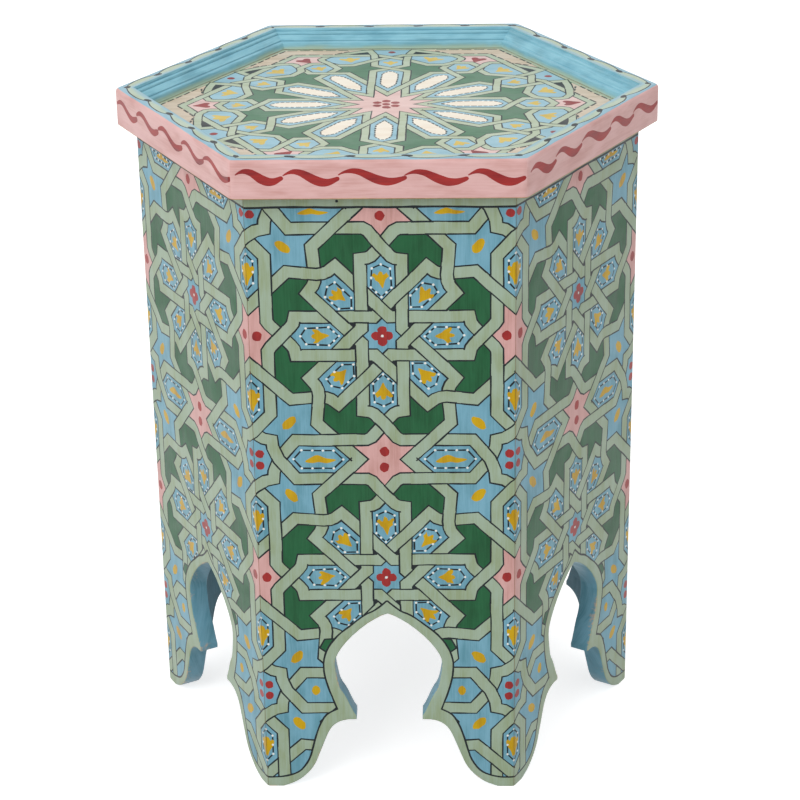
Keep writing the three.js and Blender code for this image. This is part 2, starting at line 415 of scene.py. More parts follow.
def partition(painting, order, outline, ground, cuts=(), spacing=FILL_SPACING):
    """Splits the area inside an outline along the edges of all that is painted on it.

    Returns flat points, triangles and the paint of each triangle.
    """
    points, edges, faces, paints = [], [], [], []

    def add(loop):
        first = len(points)
        points.extend(Vector(p) for p in loop)
        return list(range(first, len(points)))

    faces.append(add(outline if area(outline) > 0 else outline[::-1]))
    paints.append(ground)
    for layer in order:
        for paint, corners in painting.layers.get(layer, []):
            faces.append(add(corners))
            paints.append(paint)
    for path in cuts:
        run = add(path)
        edges += list(zip(run, run[1:]))
    low = [min(p[axis] for p in outline) for axis in (0, 1)]
    high = [max(p[axis] for p in outline) for axis in (0, 1)]
    row = 0
    y = low[1] + spacing / 2
    while y < high[1]:
        x = low[0] + spacing * (0.5 + 0.5 * (row % 2))
        while x < high[0]:
            points.append(Vector((x, y)))
            x += spacing
        y += spacing * 0.87
        row += 1
    spots, _, triangles, _, _, _ = delaunay_2d_cdt(points, edges, faces, 1, 1e-6)
    boxes = []
    squares = {}
    for face, loop in enumerate(faces):
        corners = [points[i] for i in loop]
        xs = [c[0] for c in corners]
        ys = [c[1] for c in corners]
        boxes.append((min(xs), max(xs), min(ys), max(ys), [(c[0], c[1]) for c in corners]))
        for column in range(int(min(xs) // SORTING_SQUARE), int(max(xs) // SORTING_SQUARE) + 1):
            for line in range(int(min(ys) // SORTING_SQUARE), int(max(ys) // SORTING_SQUARE) + 1):
                squares.setdefault((column, line), []).append(face)

    def holds(face, x, y):
        left, right, bottom, top, corners = boxes[face]
        if not (left <= x <= right and bottom <= y <= top):
            return False
        crossed = False
        ax, ay = corners[-1]
        for bx, by in corners:
            if (ay > y) != (by > y) and x < (bx - ax) * (y - ay) / (by - ay) + ax:
                crossed = not crossed
            ax, ay = bx, by
        return crossed

    kept = []
    for t in triangles:
        x = sum(spots[v][0] for v in t) / 3
        y = sum(spots[v][1] for v in t) / 3
        if holds(0, x, y):
            near = squares[(int(x // SORTING_SQUARE), int(y // SORTING_SQUARE))]
            kept.append((t, next(face for face in reversed(near) if holds(face, x, y))))
    used = sorted({v for t, _ in kept for v in t})
    number = {v: i for i, v in enumerate(used)}
    flat = [(spots[v][0], spots[v][1]) for v in used]
    return flat, [tuple(number[v] for v in t) for t, _ in kept], [paints[i] for _, i in kept]


# The zellij of one side-panel tile
# Shares of half a tile across and up, seen from outside with the rosette in the middle
TILE_SHARE = 0.199
PATTERN_TOP_SHARE = 0.972
TILE = TILE_SHARE * PANEL_TOP
PATTERN_TOP = PATTERN_TOP_SHARE * PANEL_TOP
STRAP_HALF_WIDTH = 0.0045
HEXAGON_LOOP_GAP = STRAP_HALF_WIDTH + 0.0036

STRAP_TOP_SHARES = [(-0.81, 1.0), (-0.675, 0.84)]
STRAP_SIDE_SHARES = [(-0.772, 1.0), (-0.624, 0.86)]
STRAP_TOP_TURN_SHARES = [
    (-0.132, 0.84), (-0.095, 0.82), (0, 0.703), (0.074, 0.625), (0.103, 0.61), (0.154, 0.603),
]
STRAP_SIDE_TURN_SHARES = [
    (-0.12, 0.86), (-0.086, 0.838), (0, 0.755), (0.07, 0.686), (0.1, 0.664), (0.152, 0.652),
]
STRAP_SHARES = [
    (0.152, 0.059), (0.55, -0.338), (0.506, -0.394), (0.492, -0.43), (0.486, -0.476), (0.507, -0.698),
]
STRAP_TOP_END_SHARE = (0.19, -1.0)
STRAP_SIDE_END_SHARE = (0.227, -1.0)
CROSSING_SHARES = [(0.152, 0.364), (0.152, 0.152), (0.211, 0), (0.364, -0.152), (0.502, -0.491)]
CROSSINGS_TOP_SHARES = [(-0.349, 0.84), (0, 0.703)] + CROSSING_SHARES + [(0.349, -0.84)]
CROSSINGS_SIDE_SHARES = [(-0.359, 0.86), (0, 0.755)] + CROSSING_SHARES + [(0.359, -0.86)]
CORNER_STRAP_SHARES = [(-0.81, 1.0), (-0.85, 0.9), (-0.855, 0.84), (-0.92, 0.825), (-1.0, 0.772)]

PINK_STAR_TOP_SHARES = two_sided([(-0.19, 1), (-0.349, 0.84), (-0.132, 0.84), (-0.095, 0.82), (0, 0.703)])
PINK_STAR_SIDE_SHARES = two_sided([(-0.227, 1), (-0.385, 0.86), (-0.12, 0.86), (-0.086, 0.838), (0, 0.755)])
HEXAGON_TOP_SHARES = [(-0.19, 1), (-0.349, 0.84), (-0.675, 0.84), (-0.81, 1)]
HEXAGON_SIDE_SHARES = [(-0.227, 1), (-0.385, 0.86), (-0.62, 0.86), (-0.772, 1)]
CORNER_STAR_SHARES = CORNER_STRAP_SHARES + [(-1, 1)]
FIVE_POINT_STAR_SHARES = [
    (-0.81, 1), (-0.675, 0.84), (-0.349, 0.84), (-0.507, 0.698), (-0.5, 0.491), (-0.698, 0.507),
    (-0.86, 0.37), (-0.86, 0.624), (-1.0, 0.772), (-0.92, 0.825), (-0.855, 0.84), (-0.85, 0.9),
]
STRAIGHT_PETAL_SHARES = two_sided([
    (0, 0.703), (-0.074, 0.625), (-0.103, 0.61), (-0.154, 0.603), (-0.152, 0.364), (0, 0.211),
])
SIDE_PETAL_SHARES = two_sided([
    (0, 0.755), (-0.07, 0.686), (-0.1, 0.664), (-0.152, 0.652), (-0.152, 0.364), (0, 0.211),
])
SLANTED_PETAL_SHARES = [
    (-0.5, 0.491), (-0.476, 0.486), (-0.43, 0.492), (-0.394, 0.506), (-0.338, 0.55), (-0.152, 0.364),
    (-0.152, 0.152), (-0.364, 0.152), (-0.55, 0.338), (-0.506, 0.394), (-0.492, 0.43), (-0.486, 0.476),
]
STRAIGHT_LOOP_SHARES = two_sided([(0, 0.563), (-0.069, 0.53), (-0.077, 0.38), (0, 0.307)])
SIDE_LOOP_SHARES = two_sided([(0, 0.612), (-0.064, 0.57), (-0.072, 0.4), (0, 0.322)])
SLANTED_LOOP_SHARES = [
    (-0.4, 0.387), (-0.343, 0.422), (-0.227, 0.303), (-0.225, 0.22), (-0.319, 0.217), (-0.418, 0.307),
]
GUSSET_SHARES = [(-0.152, 0.364), (0, 0.211), (-0.059, 0.152), (-0.152, 0.152)]
CENTRE_STAR_SHARES = [(0, 0.211), (-0.059, 0.152), (-0.152, 0.152), (-0.152, 0.059), (-0.211, 0)]
TULIP_SHARES = [
    (0, -0.078), (0.016, -0.05), (0.03, -0.024), (0.044, -0.008), (0.056, 0.01), (0.058, 0.032),
    (0.05, 0.042), (0.032, 0.032), (0.02, 0.03), (0.018, 0.046), (0.008, 0.06), (-0.002, 0.06),
    (-0.014, 0.046), (-0.02, 0.028), (-0.034, 0.036), (-0.052, 0.046), (-0.06, 0.032), (-0.054, 0.01),
    (-0.042, -0.008), (-0.028, -0.024), (-0.015, -0.05),
]
TULIP_CENTRE_SHARE = 0.452
SIDE_TULIP_CENTRE_SHARE = 0.468
CORNER_TULIP_SHARES = two_sided([
    (0, -0.105), (0.016, -0.06), (0.034, -0.03), (0.05, 0.0), (0.056, 0.036), (0.04, 0.05), (0.026, 0.04),
    (0.016, 0.066), (0, 0.076),
])
FLAME_SHARES = [
    (-0.11, -0.02), (-0.06, 0.018), (-0.01, 0.035), (0.05, 0.012), (0.11, 0.004), (0.13, -0.008),
    (0.06, -0.03), (0.0, -0.022), (-0.05, -0.03),
]
LOBE_SHARE = 0.045
STAR_DAB_SHARE = 0.935
CORNER_DAB_SHARES = (0.957, 0.952)
STAR_CENTRE_SHARES = (0.72, 0.7)
CORNER_TULIP_PLACE_SHARES = (0.992, 0.5)
SMALL_DAB_SHARE = 0.585
DASH_HALF_WIDTH = 0.0006
DOT_RADIUS = 0.0009
PETAL_PITCH = 0.0064
TOP_HEXAGON_PITCH = 0.0066
HEXAGON_PITCH = 0.0082
SIDE_HEXAGON_PITCH = 0.0074
RED_DAB = 0.0034
CORNER_DAB = 0.0032
STAR_DAB = 0.0035
SMALL_DAB = 0.0029
CENTRE_DOT = 0.001


def quarter_turned(points, quarters, mirrored=False):
    out = []
    for x, y in points:
        if mirrored:
            x = -x
        for _ in range(quarters % 4):
            x, y = -y, x
        out.append((x, y))
    return out


class Tile:
    """One square of the weave, set on a panel at its centre's height."""

    def __init__(self, painting, centre_height):
        self.painting = painting
        self.centre_height = centre_height

    def place(self, points):
        return [(x * HALF, self.centre_height + y * TILE) for x, y in points]

    def strap(self, path, overs, cuts, fore, aft):
        """One strap of the weave, with its crossings and if it passes over there."""
        first = between(path[0], fore, 0.09 / distance(path[0], fore))
        last = between(path[-1], aft, 0.09 / distance(path[-1], aft))
        return walked(self.place([first] + path + [last])), list(zip(self.place(cuts), overs))

    def weave(self):
        straps = []
        overs = [True, False] * 4 + [True]
        for quarter in range(4):
            sideways = quarter % 2 == 1
            start = STRAP_SIDE_SHARES if sideways else STRAP_TOP_SHARES
            end = STRAP_SIDE_END_SHARE if sideways else STRAP_TOP_END_SHARE
            fore = (-0.825, 1.08) if sideways else (-0.85, 1.1)
            aft = (0.507, -1.302)
            turn = STRAP_SIDE_TURN_SHARES if sideways else STRAP_TOP_TURN_SHARES
            path = start + turn + STRAP_SHARES + [end]
            spots = [start[0]] + (CROSSINGS_SIDE_SHARES if sideways else CROSSINGS_TOP_SHARES)
            for mirrored in (False, True):
                parts = (path, spots, [fore], [aft])
                turned = [quarter_turned(points, quarter, mirrored) for points in parts]
                levels = [not over for over in overs] if mirrored else overs
                straps.append(self.strap(turned[0], levels, turned[1], turned[2][0], turned[3][0]))
        for corner in range(4):
            mirrored = corner % 2 == 1
            ends = [CORNER_STRAP_SHARES[0], CORNER_STRAP_SHARES[-1]]
            parts = (CORNER_STRAP_SHARES, ends, [(-0.675, 1.16)], [(-1.16, 0.624)])
            turned = [quarter_turned(points, 2 * (corner // 2), mirrored) for points in parts]
            levels = [mirrored, not mirrored]
            straps.append(self.strap(turned[0], levels, turned[1], turned[2][0], turned[3][0]))
        lay_straps(self.painting, straps, STRAP_HALF_WIDTH, OUTLINE_HALF_WIDTH)

    def cells(self, row):
        paint = self.painting
        ground = self.place([(-1.1, -1), (1.1, -1), (1.1, 1), (-1.1, 1)])
        paint.fill("ground", "blue" if row == 2 else "leaf", ground, steady=True)
        for quarter in range(4):
            sideways = quarter % 2 == 1
            star = PINK_STAR_SIDE_SHARES if sideways else PINK_STAR_TOP_SHARES
            if row < 2 or not sideways:
                paint.fill("cells", "pink", self.place(quarter_turned(star, quarter)))
            petal = SIDE_PETAL_SHARES if sideways else STRAIGHT_PETAL_SHARES
            paint.fill("cells", "blue", self.place(quarter_turned(petal, quarter)))
            paint.fill("cells", "blue", self.place(quarter_turned(SLANTED_PETAL_SHARES, quarter)))
            hexagon = HEXAGON_SIDE_SHARES if sideways else HEXAGON_TOP_SHARES
            for mirrored in (False, True):
                paint.fill("cells", "blue", self.place(quarter_turned(hexagon, quarter, mirrored)))
                paint.fill("cells", "ink", self.place(quarter_turned(GUSSET_SHARES, quarter, mirrored)))
        for corner in range(4):
            turn = 2 * (corner // 2), corner % 2 == 1
            paint.fill("cells", "blue", self.place(quarter_turned(CORNER_STAR_SHARES, *turn)))
            paint.fill("cells", "blue", self.place(quarter_turned(FIVE_POINT_STAR_SHARES, *turn)))
        ring = []
        for quarter in range(4):
            ring += quarter_turned(CENTRE_STAR_SHARES[:4], quarter)
        paint.fill("cells", "blue", self.place(ring))

    def dash_loop(self, shares, gap=0.0, pitch=PETAL_PITCH):
        loop = self.place(shares)
        if gap:
            loop = inset(loop, gap)
        self.painting.dashes("dashes", loop, True, pitch, DASH_HALF_WIDTH, DOT_RADIUS)

    def bloom(self, shares):
        self.painting.lay("marks", "yellow", self.place(curved(shares, closed=True, pieces=3)))

    def tulip(self, angle, out):
        dice = self.painting.dice
        out *= TILE
        centre = (-out * math.sin(angle), self.centre_height + out * math.cos(angle))
        size = dice.uniform(0.9, 1.08)
        shape = []
        for x, y in TULIP_SHARES:
            shape.append((x * TILE * dice.uniform(0.85, 1.15), y * TILE * dice.uniform(0.9, 1.1)))
        bloom = curved(shape, closed=True, pieces=3)
        bloom = moved(bloom, centre, angle + dice.uniform(-0.16, 0.16), size)
        self.painting.lay("marks", "yellow", bloom)

    def marks(self, row, dashed_top):
        paint = self.painting
        dice = paint.dice
        for quarter in range(4):
            sideways = quarter % 2 == 1
            self.dash_loop(quarter_turned(SIDE_LOOP_SHARES if sideways else STRAIGHT_LOOP_SHARES, quarter))
            self.dash_loop(quarter_turned(SLANTED_LOOP_SHARES, quarter))
            self.tulip(quarter * math.pi / 2, SIDE_TULIP_CENTRE_SHARE if sideways else TULIP_CENTRE_SHARE)
            self.tulip(quarter * math.pi / 2 + math.pi / 4, TULIP_CENTRE_SHARE)
            lobe, star = self.place(quarter_turned([(0, LOBE_SHARE), (0, STAR_DAB_SHARE)], quarter))
            paint.dab("marks", "red", lobe, RED_DAB)
            paint.dab("marks", "red", star, RED_DAB, 1.12, math.pi / 2)
        paint.dab("marks_dots", "white", self.place([(0, 0)])[0], CENTRE_DOT)
        for side in (-1, 1):
            for end in (-1, 1):
                star = self.place([(side * STAR_CENTRE_SHARES[0], end * STAR_CENTRE_SHARES[1])])[0]
                turn = math.atan2(end, side) + dice.uniform(-0.2, 0.2)
                paint.dab("marks", "yellow", star, STAR_DAB, 1.75, turn)
                corner = self.place([(side * CORNER_DAB_SHARES[0], end * CORNER_DAB_SHARES[1])])[0]
                paint.dab("marks", "red", corner, CORNER_DAB)
                across, up = CORNER_TULIP_PLACE_SHARES
                self.bloom([(side * across + x, end * up + y) for x, y in CORNER_TULIP_SHARES])
        for side in (-1, 1):
            hexagon = [(side * x, y) for x, y in HEXAGON_TOP_SHARES][::-side]
            middle = side * 0.5
            whole = hexagon + [(x, 2 - y) for x, y in hexagon[2:0:-1]]
            if row == 0:
                loop = inset(self.place(whole), HEXAGON_LOOP_GAP)
                ends = between(loop[0], loop[1], 0.3), between(loop[3], loop[2], 0.3)
                if dashed_top:
                    loop = [ends[0], loop[1], loop[2], ends[1]]
                    paint.dashes("dashes", loop, True, TOP_HEXAGON_PITCH, DASH_HALF_WIDTH, DOT_RADIUS)
                self.bloom([(middle + x * 0.95, 0.965 + y * 0.75) for x, y in FLAME_SHARES])
            elif row == 1:
                self.dash_loop(whole, HEXAGON_LOOP_GAP, HEXAGON_PITCH)
                self.bloom([(middle + x, 1 + y * 1.05) for x, y in FLAME_SHARES])
            else:
                spot = self.place([(side * SMALL_DAB_SHARE, 1)])[0]
                paint.dab("marks", "yellow", spot, SMALL_DAB, 1.4, math.pi / 2)
            for end in (-1, 1):
                upright = [(-end * y, side * x) for x, y in HEXAGON_SIDE_SHARES]
                whole = upright + [(2 * -end - x, y) for x, y in upright[2:0:-1]]
                self.dash_loop(whole, HEXAGON_LOOP_GAP, SIDE_HEXAGON_PITCH)


# Paints and other finishes
def new_group(name, inputs, outputs):
    tree = bpy.data.node_groups.new(name, "ShaderNodeTree")
    for label, kind in inputs:
        tree.interface.new_socket(label, in_out="INPUT", socket_type=kind)
    for label in outputs:
        tree.interface.new_socket(label, in_out="OUTPUT", socket_type="NodeSocketFloat")
    return tree


def new_finish(name):
    """A material, its nodes and the sockets of its shader."""
    made = bpy.data.materials.new(name)
    made.use_nodes = True
    return made, made.node_tree, made.node_tree.nodes["Principled BSDF"].inputs


def node(tree, kind, **settings):
    made = tree.nodes.new(kind)
    for name, value in settings.items():
        setattr(made, name, value)
    return made


def wire(tree, target, value):
    """Links a socket to the target, or sets the target to a plain value."""
    if isinstance(value, bpy.types.NodeSocket):
        tree.links.new(value, target)
    else:
        target.default_value = value


def math_node(tree, operation, *values):
    made = node(tree, "ShaderNodeMath", operation=operation)
    for socket, value in zip(made.inputs, values):
        wire(tree, socket, value)
    return made.outputs[0]


def ramp(tree, value, low, high, to_low=0.0, to_high=1.0):
    made = node(tree, "ShaderNodeMapRange", interpolation_type="SMOOTHSTEP")
    for socket, number in zip(made.inputs[:5], (value, low, high, to_low, to_high)):
        wire(tree, socket, number)
    return made.outputs[0]


def mixed(tree, share, first, second, blend="MIX"):
    made = node(tree, "ShaderNodeMix", data_type="RGBA", blend_type=blend)
    wire(tree, made.inputs[0], share)
    wire(tree, made.inputs[6], first)
    wire(tree, made.inputs[7], second)
    return made.outputs[2]


def noisy(tree, vector, scale, detail=2.0, roughness=0.5):
    made = node(tree, "ShaderNodeTexNoise", noise_dimensions="3D")
    wire(tree, made.inputs["Vector"], vector)
    wire(tree, made.inputs["Scale"], scale)
    made.inputs["Detail"].default_value = detail
    made.inputs["Roughness"].default_value = roughness
    return made.outputs["Fac"]


def blended(tree, first, first_weight, second, second_weight):
    """The sum of two values, each with its weight."""
    first_part = math_node(tree, "MULTIPLY", first, first_weight)
    return math_node(tree, "ADD", first_part, math_node(tree, "MULTIPLY", second, second_weight))


def stretched(tree, vector, scale):
    made = node(tree, "ShaderNodeVectorMath", operation="MULTIPLY")
    wire(tree, made.inputs[0], vector)
    made.inputs[1].default_value = scale
    return made.outputs[0]


def rise(tree, shader, height, strength, depth):
    """Gives a finish its relief."""
    bump = node(tree, "ShaderNodeBump")
    bump.inputs["Strength"].default_value = strength
    bump.inputs["Distance"].default_value = depth
    wire(tree, bump.inputs["Height"], height)
    wire(tree, shader["Normal"], bump.outputs["Normal"])


# How much longer than wide the bristle marks, the broad streaks and the shifts of tint are drawn
BRISTLE_STRETCH = (1.0, 0.045, 1.0)
STREAK_STRETCH = (1.0, 0.16, 1.0)
TINT_STRETCH = (1.0, 0.45, 1.0)
GRAIN_STRETCH = (1.0, 1.0, 0.12)

# How fine each unevenness is, as its scale over a metre
BRISTLE_SCALE = 900.0
STREAK_SCALE = 170.0
PATCH_SCALE = 34.0
TINT_SCALE = 62.0
RUB_GRAIN_SCALE = 420.0
RUB_BLOTCH_SCALE = 26.0
WOOD_GRAIN_SCALE = 420.0
WOOD_RING_SCALE = 60.0
STEEL_SCALE = 900.0
RUB_AMOUNT = 0.5


def make_brushwork():
    """Bristle marks along the stroke, thick and thin patches, and the relief of both."""
    tree = new_group("Brushwork", [("Vector", "NodeSocketVector")], ["Streak", "Patch", "Tint", "Height"])
    place = node(tree, "NodeGroupInput").outputs["Vector"]
    made = node(tree, "NodeGroupOutput").inputs
    fine = noisy(tree, stretched(tree, place, BRISTLE_STRETCH), BRISTLE_SCALE, 3.0, 0.6)
    broad = noisy(tree, stretched(tree, place, STREAK_STRETCH), STREAK_SCALE)
    patch = noisy(tree, place, PATCH_SCALE, 3.0, 0.55)
    tint = noisy(tree, stretched(tree, place, TINT_STRETCH), TINT_SCALE, 3.0, 0.55)
    wire(tree, made["Streak"], ramp(tree, blended(tree, fine, 0.5, broad, 0.5), 0.34, 0.66))
    wire(tree, made["Patch"], ramp(tree, patch, 0.36, 0.66))
    wire(tree, made["Tint"], ramp(tree, tint, 0.4, 0.62))
    wire(tree, made["Height"], blended(tree, fine, 0.7, broad, 0.6))
    return tree


def make_wear():
    """Where handling has rubbed the paint: along the edges, broken up by the grain."""
    sockets = [("Vector", "NodeSocketVector"), ("Edge", "NodeSocketFloat")]
    tree = new_group("Rubbed edges", sockets, ["Rubbed"])
    given = node(tree, "NodeGroupInput").outputs
    made = node(tree, "NodeGroupOutput").inputs
    grain = noisy(tree, given["Vector"], RUB_GRAIN_SCALE, 4.0, 0.65)
    blotch = noisy(tree, given["Vector"], RUB_BLOTCH_SCALE)
    rough = blended(tree, grain, 0.55, blotch, 0.75)
    reach = math_node(tree, "MULTIPLY", given["Edge"], RUB_AMOUNT)
    wire(tree, made["Rubbed"], ramp(tree, math_node(tree, "ADD", rough, reach), 1.12, 1.26))
    return tree


BRUSHWORK = make_brushwork()
RUBBED = make_wear()
WOOD_COLOUR = srgb(203, 170, 138)

# Each pot: the mean colour, its darker strokes and its lighter strokes
POTS = {
    "sage": ((147, 163, 139), (136, 150, 114), (158, 178, 163)),
    "leaf": ((20, 81, 46), (10, 66, 34), (38, 98, 62)),
    "blue": ((103, 153, 171), (82, 133, 147), (127, 173, 192)),
    "pink": ((197, 152, 148), (181, 134, 127), (214, 171, 167)),
    "red": ((140, 36, 37), (111, 24, 29), (172, 48, 42)),
    "yellow": ((186, 147, 2), (160, 120, 2), (204, 168, 10)),
    "ink": ((12, 20, 24), (7, 14, 18), (24, 36, 40)),
    "white": ((221, 219, 212), (202, 200, 192), (231, 229, 223)),
    "sky": ((123, 179, 196), (94, 153, 173), (153, 203, 216)),
    # Painted shade: a darker blue for the lines along the hollow steps of the moulding's slope
    "groove": ((94, 148, 166), (80, 132, 150), (112, 164, 180)),
    "cream": ((240, 230, 213), (232, 217, 196), (246, 239, 226)),
    "rose": ((208, 165, 162), (192, 144, 138), (222, 184, 181)),
    # Lighter sage and blue for the rim's top: painted sheen and light on its upward face
    "mist": ((175, 190, 167), (166, 182, 148), (190, 206, 194)),
    "haze": ((137, 177, 194), (118, 162, 182), (160, 194, 206)),
    # Lighter copies of the panel paints for the tray: painted sheen and light on its upward face
    "pale leaf": ((72, 118, 88), (60, 104, 76), (84, 130, 100)),
    "pale sage": ((178, 190, 165), (168, 179, 146), (190, 203, 185)),
    "pale blue": ((147, 188, 203), (128, 172, 188), (166, 202, 214)),
    "pale pink": ((223, 190, 184), (210, 172, 166), (232, 204, 199)),
    "pale yellow": ((211, 181, 78), (196, 164, 52), (220, 196, 108)),
    "sand": ((206, 189, 168), (190, 170, 144), (228, 213, 194)),
}
GLOSS = 0.36
SLEEK_GLOSS = 0.32
SLEEK_POTS = ("red", "yellow")
PAINT_IOR = 1.3
SHEEN = 0.15
SHEEN_ROUGHNESS = 0.3
DARK_STRENGTH = 0.8
LIGHT_STRENGTH = 0.55
FADE_UNEVENNESS = 0.35
RUBBED_STRENGTH = 0.6
PAINT_BUMP = 0.55
PAINT_RELIEF = 0.00022
WOOD_BUMP = 0.5
WOOD_RELIEF = 0.0003
STROKE_MAP = "strokes"

# The next paint that a pot was worked into while wet
WET_EDGES = {"sky": srgb(156, 180, 162), "mist": srgb(146, 184, 196)}


def paint_finish(pot):
    """Brushed paint: streaks and patches shift its colour, gloss and relief, and rubbed edges show the wood.

    A paint with a wet edge fades into the next one where the piece's own fade values say so.
    """
    colour, dark, light = (srgb(*reading) for reading in POTS[pot])
    gloss = SLEEK_GLOSS if pot in SLEEK_POTS else GLOSS
    made, tree, shader = new_finish("paint " + pot)
    shader["IOR"].default_value = PAINT_IOR
    shader["Sheen Weight"].default_value = SHEEN
    shader["Sheen Roughness"].default_value = SHEEN_ROUGHNESS
    place = node(tree, "ShaderNodeUVMap", uv_map=STROKE_MAP).outputs["UV"]
    brushwork = node(tree, "ShaderNodeGroup", node_tree=BRUSHWORK)
    wire(tree, brushwork.inputs["Vector"], place)
    work = brushwork.outputs
    shaded = mixed(tree, math_node(tree, "MULTIPLY", work["Tint"], DARK_STRENGTH), colour, dark)
    coat = mixed(tree, math_node(tree, "MULTIPLY", work["Streak"], LIGHT_STRENGTH), shaded, light)
    if pot in WET_EDGES:
        worked = node(tree, "ShaderNodeAttribute", attribute_name="fade").outputs["Fac"]
        uneven = math_node(tree, "MULTIPLY", work["Tint"], FADE_UNEVENNESS)
        share = ramp(tree, math_node(tree, "ADD", worked, uneven), 0.2, 1.15)
        coat = mixed(tree, share, coat, WET_EDGES[pot])
    rubbed = node(tree, "ShaderNodeGroup", node_tree=RUBBED)
    wire(tree, rubbed.inputs["Vector"], place)
    edge = node(tree, "ShaderNodeAttribute", attribute_name="edge")
    wire(tree, rubbed.inputs["Edge"], edge.outputs["Fac"])
    bare = math_node(tree, "MULTIPLY", rubbed.outputs["Rubbed"], RUBBED_STRENGTH)
    wire(tree, shader["Base Color"], mixed(tree, bare, coat, WOOD_COLOUR))
    rough = ramp(tree, work["Patch"], 0.0, 1.0, gloss - 0.05, gloss + 0.06)
    streaks = math_node(tree, "MULTIPLY", work["Streak"], 0.05)
    wire(tree, shader["Roughness"], math_node(tree, "ADD", rough, streaks))
    rise(tree, shader, work["Height"], PAINT_BUMP, PAINT_RELIEF)
    return made


def wood_finish(name, colour, dark):
    made, tree, shader = new_finish(name)
    place = stretched(tree, node(tree, "ShaderNodeTexCoord").outputs["Object"], GRAIN_STRETCH)
    grain = noisy(tree, place, WOOD_GRAIN_SCALE, 4.0, 0.6)
    rings = noisy(tree, place, WOOD_RING_SCALE)
    both = ramp(tree, blended(tree, grain, 0.5, rings, 0.5), 0.35, 0.65)
    wire(tree, shader["Base Color"], mixed(tree, both, dark, colour))
    wire(tree, shader["Roughness"], ramp(tree, grain, 0.3, 0.7, 0.62, 0.8))
    rise(tree, shader, grain, WOOD_BUMP, WOOD_RELIEF)
    return made


def steel_finish(name, colour, dark):
    made, tree, shader = new_finish(name)
    shader["Metallic"].default_value = 1.0
    spots = noisy(tree, node(tree, "ShaderNodeTexCoord").outputs["Object"], STEEL_SCALE, 3.0, 0.6)
    wire(tree, shader["Base Color"], mixed(tree, ramp(tree, spots, 0.4, 0.7), colour, dark))
    wire(tree, shader["Roughness"], ramp(tree, spots, 0.35, 0.7, 0.32, 0.6))
    return made


FINISHES = {pot: paint_finish(pot) for pot in POTS}
FINISHES["wood"] = wood_finish("bare cedar", srgb(190, 146, 104), srgb(152, 108, 72))
FINISHES["steel"] = steel_finish("nail steel", srgb(150, 150, 150), srgb(96, 88, 82))
INNER_FINISHES = {"top_cleat": "wood", "corner_block": "wood", "cleat_screw": "steel", "nail": "steel"}
for cad_name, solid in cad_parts.items():
    for word, finish_name in INNER_FINISHES.items():
        if word in cad_name:
            for place in solid.material_slots:
                place.material = FINISHES[finish_name]


# Making pieces
def make_piece(name, vertices, faces, paints, strokes, edge_wear=None, smooth_angle=35, fades=None):
    """A mesh with a material for each paint, the map that its strokes follow and the wear of its edges."""
    mesh = bpy.data.meshes.new(name)
    mesh.from_pydata(vertices, [], faces)
    names = sorted(set(paints))
    for paint in names:
        mesh.materials.append(FINISHES[paint])
    slot_of = {paint: i for i, paint in enumerate(names)}
    mesh.polygons.foreach_set("material_index", [slot_of[p] for p in paints])
    layer = mesh.uv_layers.new(name=STROKE_MAP)
    flat = []
    for polygon in mesh.polygons:
        for index in polygon.vertices:
            flat.extend(strokes[index])
    layer.data.foreach_set("uv", flat)
    wear = mesh.attributes.new("edge", "FLOAT", "POINT")
    wear.data.foreach_set("value", edge_wear or [0.0] * len(vertices))
    if fades:
        worked = mesh.attributes.new("fade", "FLOAT", "POINT")
        worked.data.foreach_set("value", fades)
    piece = bpy.data.objects.new(name, mesh)
    bpy.context.scene.collection.objects.link(piece)
    bpy.ops.object.select_all(action="DESELECT")
    piece.select_set(True)
    bpy.context.view_layer.objects.active = piece
    bpy.ops.object.shade_smooth_by_angle(angle=math.radians(smooth_angle))
    return piece


# Side panels
PAINT_BUILD = 0.0001
FACE += PAINT_BUILD
HALF = half_side(FACE)
CORNER_RADIUS = 0.003
ARRIS_RADIUS = 0.0009
EDGE_BAND = 0.0016
EDGE_STEP = 0.006
BACK_STEP = 0.012
CORNER_ROWS = (0, 0.34, 0.67)
MITRE = math.tan(SECTOR / 2)
FLAT_END = HALF - CORNER_RADIUS * MITRE
AT_SIDE = HALF - 2e-4
AT_TOP = PANEL_TOP - 1e-4
ARCH_WEAR = 0.9
SIDE_WEAR = 0.4
BACK_WEAR = 0.35
ARCH_LINE_HALF_WIDTH = 0.0007
TOP_LINE_HALF_WIDTH = 0.0008
# A dark line painted just below the rim's underside: the rim's painted shadow on the panel
RIM_SHADOW_HALF_WIDTH = 0.00055
RIM_SHADOW_DROP = 0.0002
NAIL_SPOT = (-0.029, 0.4668)
NAIL_SPOT_RADIUS = 0.0011

# Border line along the arch, left of the middle: shares of half the panel's width and of the arch's rise
ARCH_RISE_SHARE = 0.3113
ARCH_RISE = ARCH_RISE_SHARE * PANEL_TOP
BORDER_SHARES = [
    (0, 1.074), (-0.097, 1.02), (-0.183, 0.993), (-0.29, 0.939), (-0.398, 0.878), (-0.473, 0.811),
    (-0.51, 0.743), (-0.512, 0.676), (-0.495, 0.608), (-0.467, 0.541), (-0.42, 0.455), (-0.506, 0.422),
    (-0.559, 0.365), (-0.596, 0.297), (-0.624, 0.23), (-0.656, 0.162), (-0.721, 0.101), (-0.807, 0.07),
    (-0.914, 0.057), (-1.044, 0.057),
]
BORDER_POINT = 10
PATCH_SHARES = [(0.462, 0.77), (0.54, 0.808), (0.5, 0.856), (0.42, 0.86)]
LAYERS = [
    "ground", "cells", "under_straps", "under_lines", "over_straps", "over_lines", "patches", "dashes",
    "marks", "dashes_dots", "marks_dots", "border", "border_lines", "nails",
]


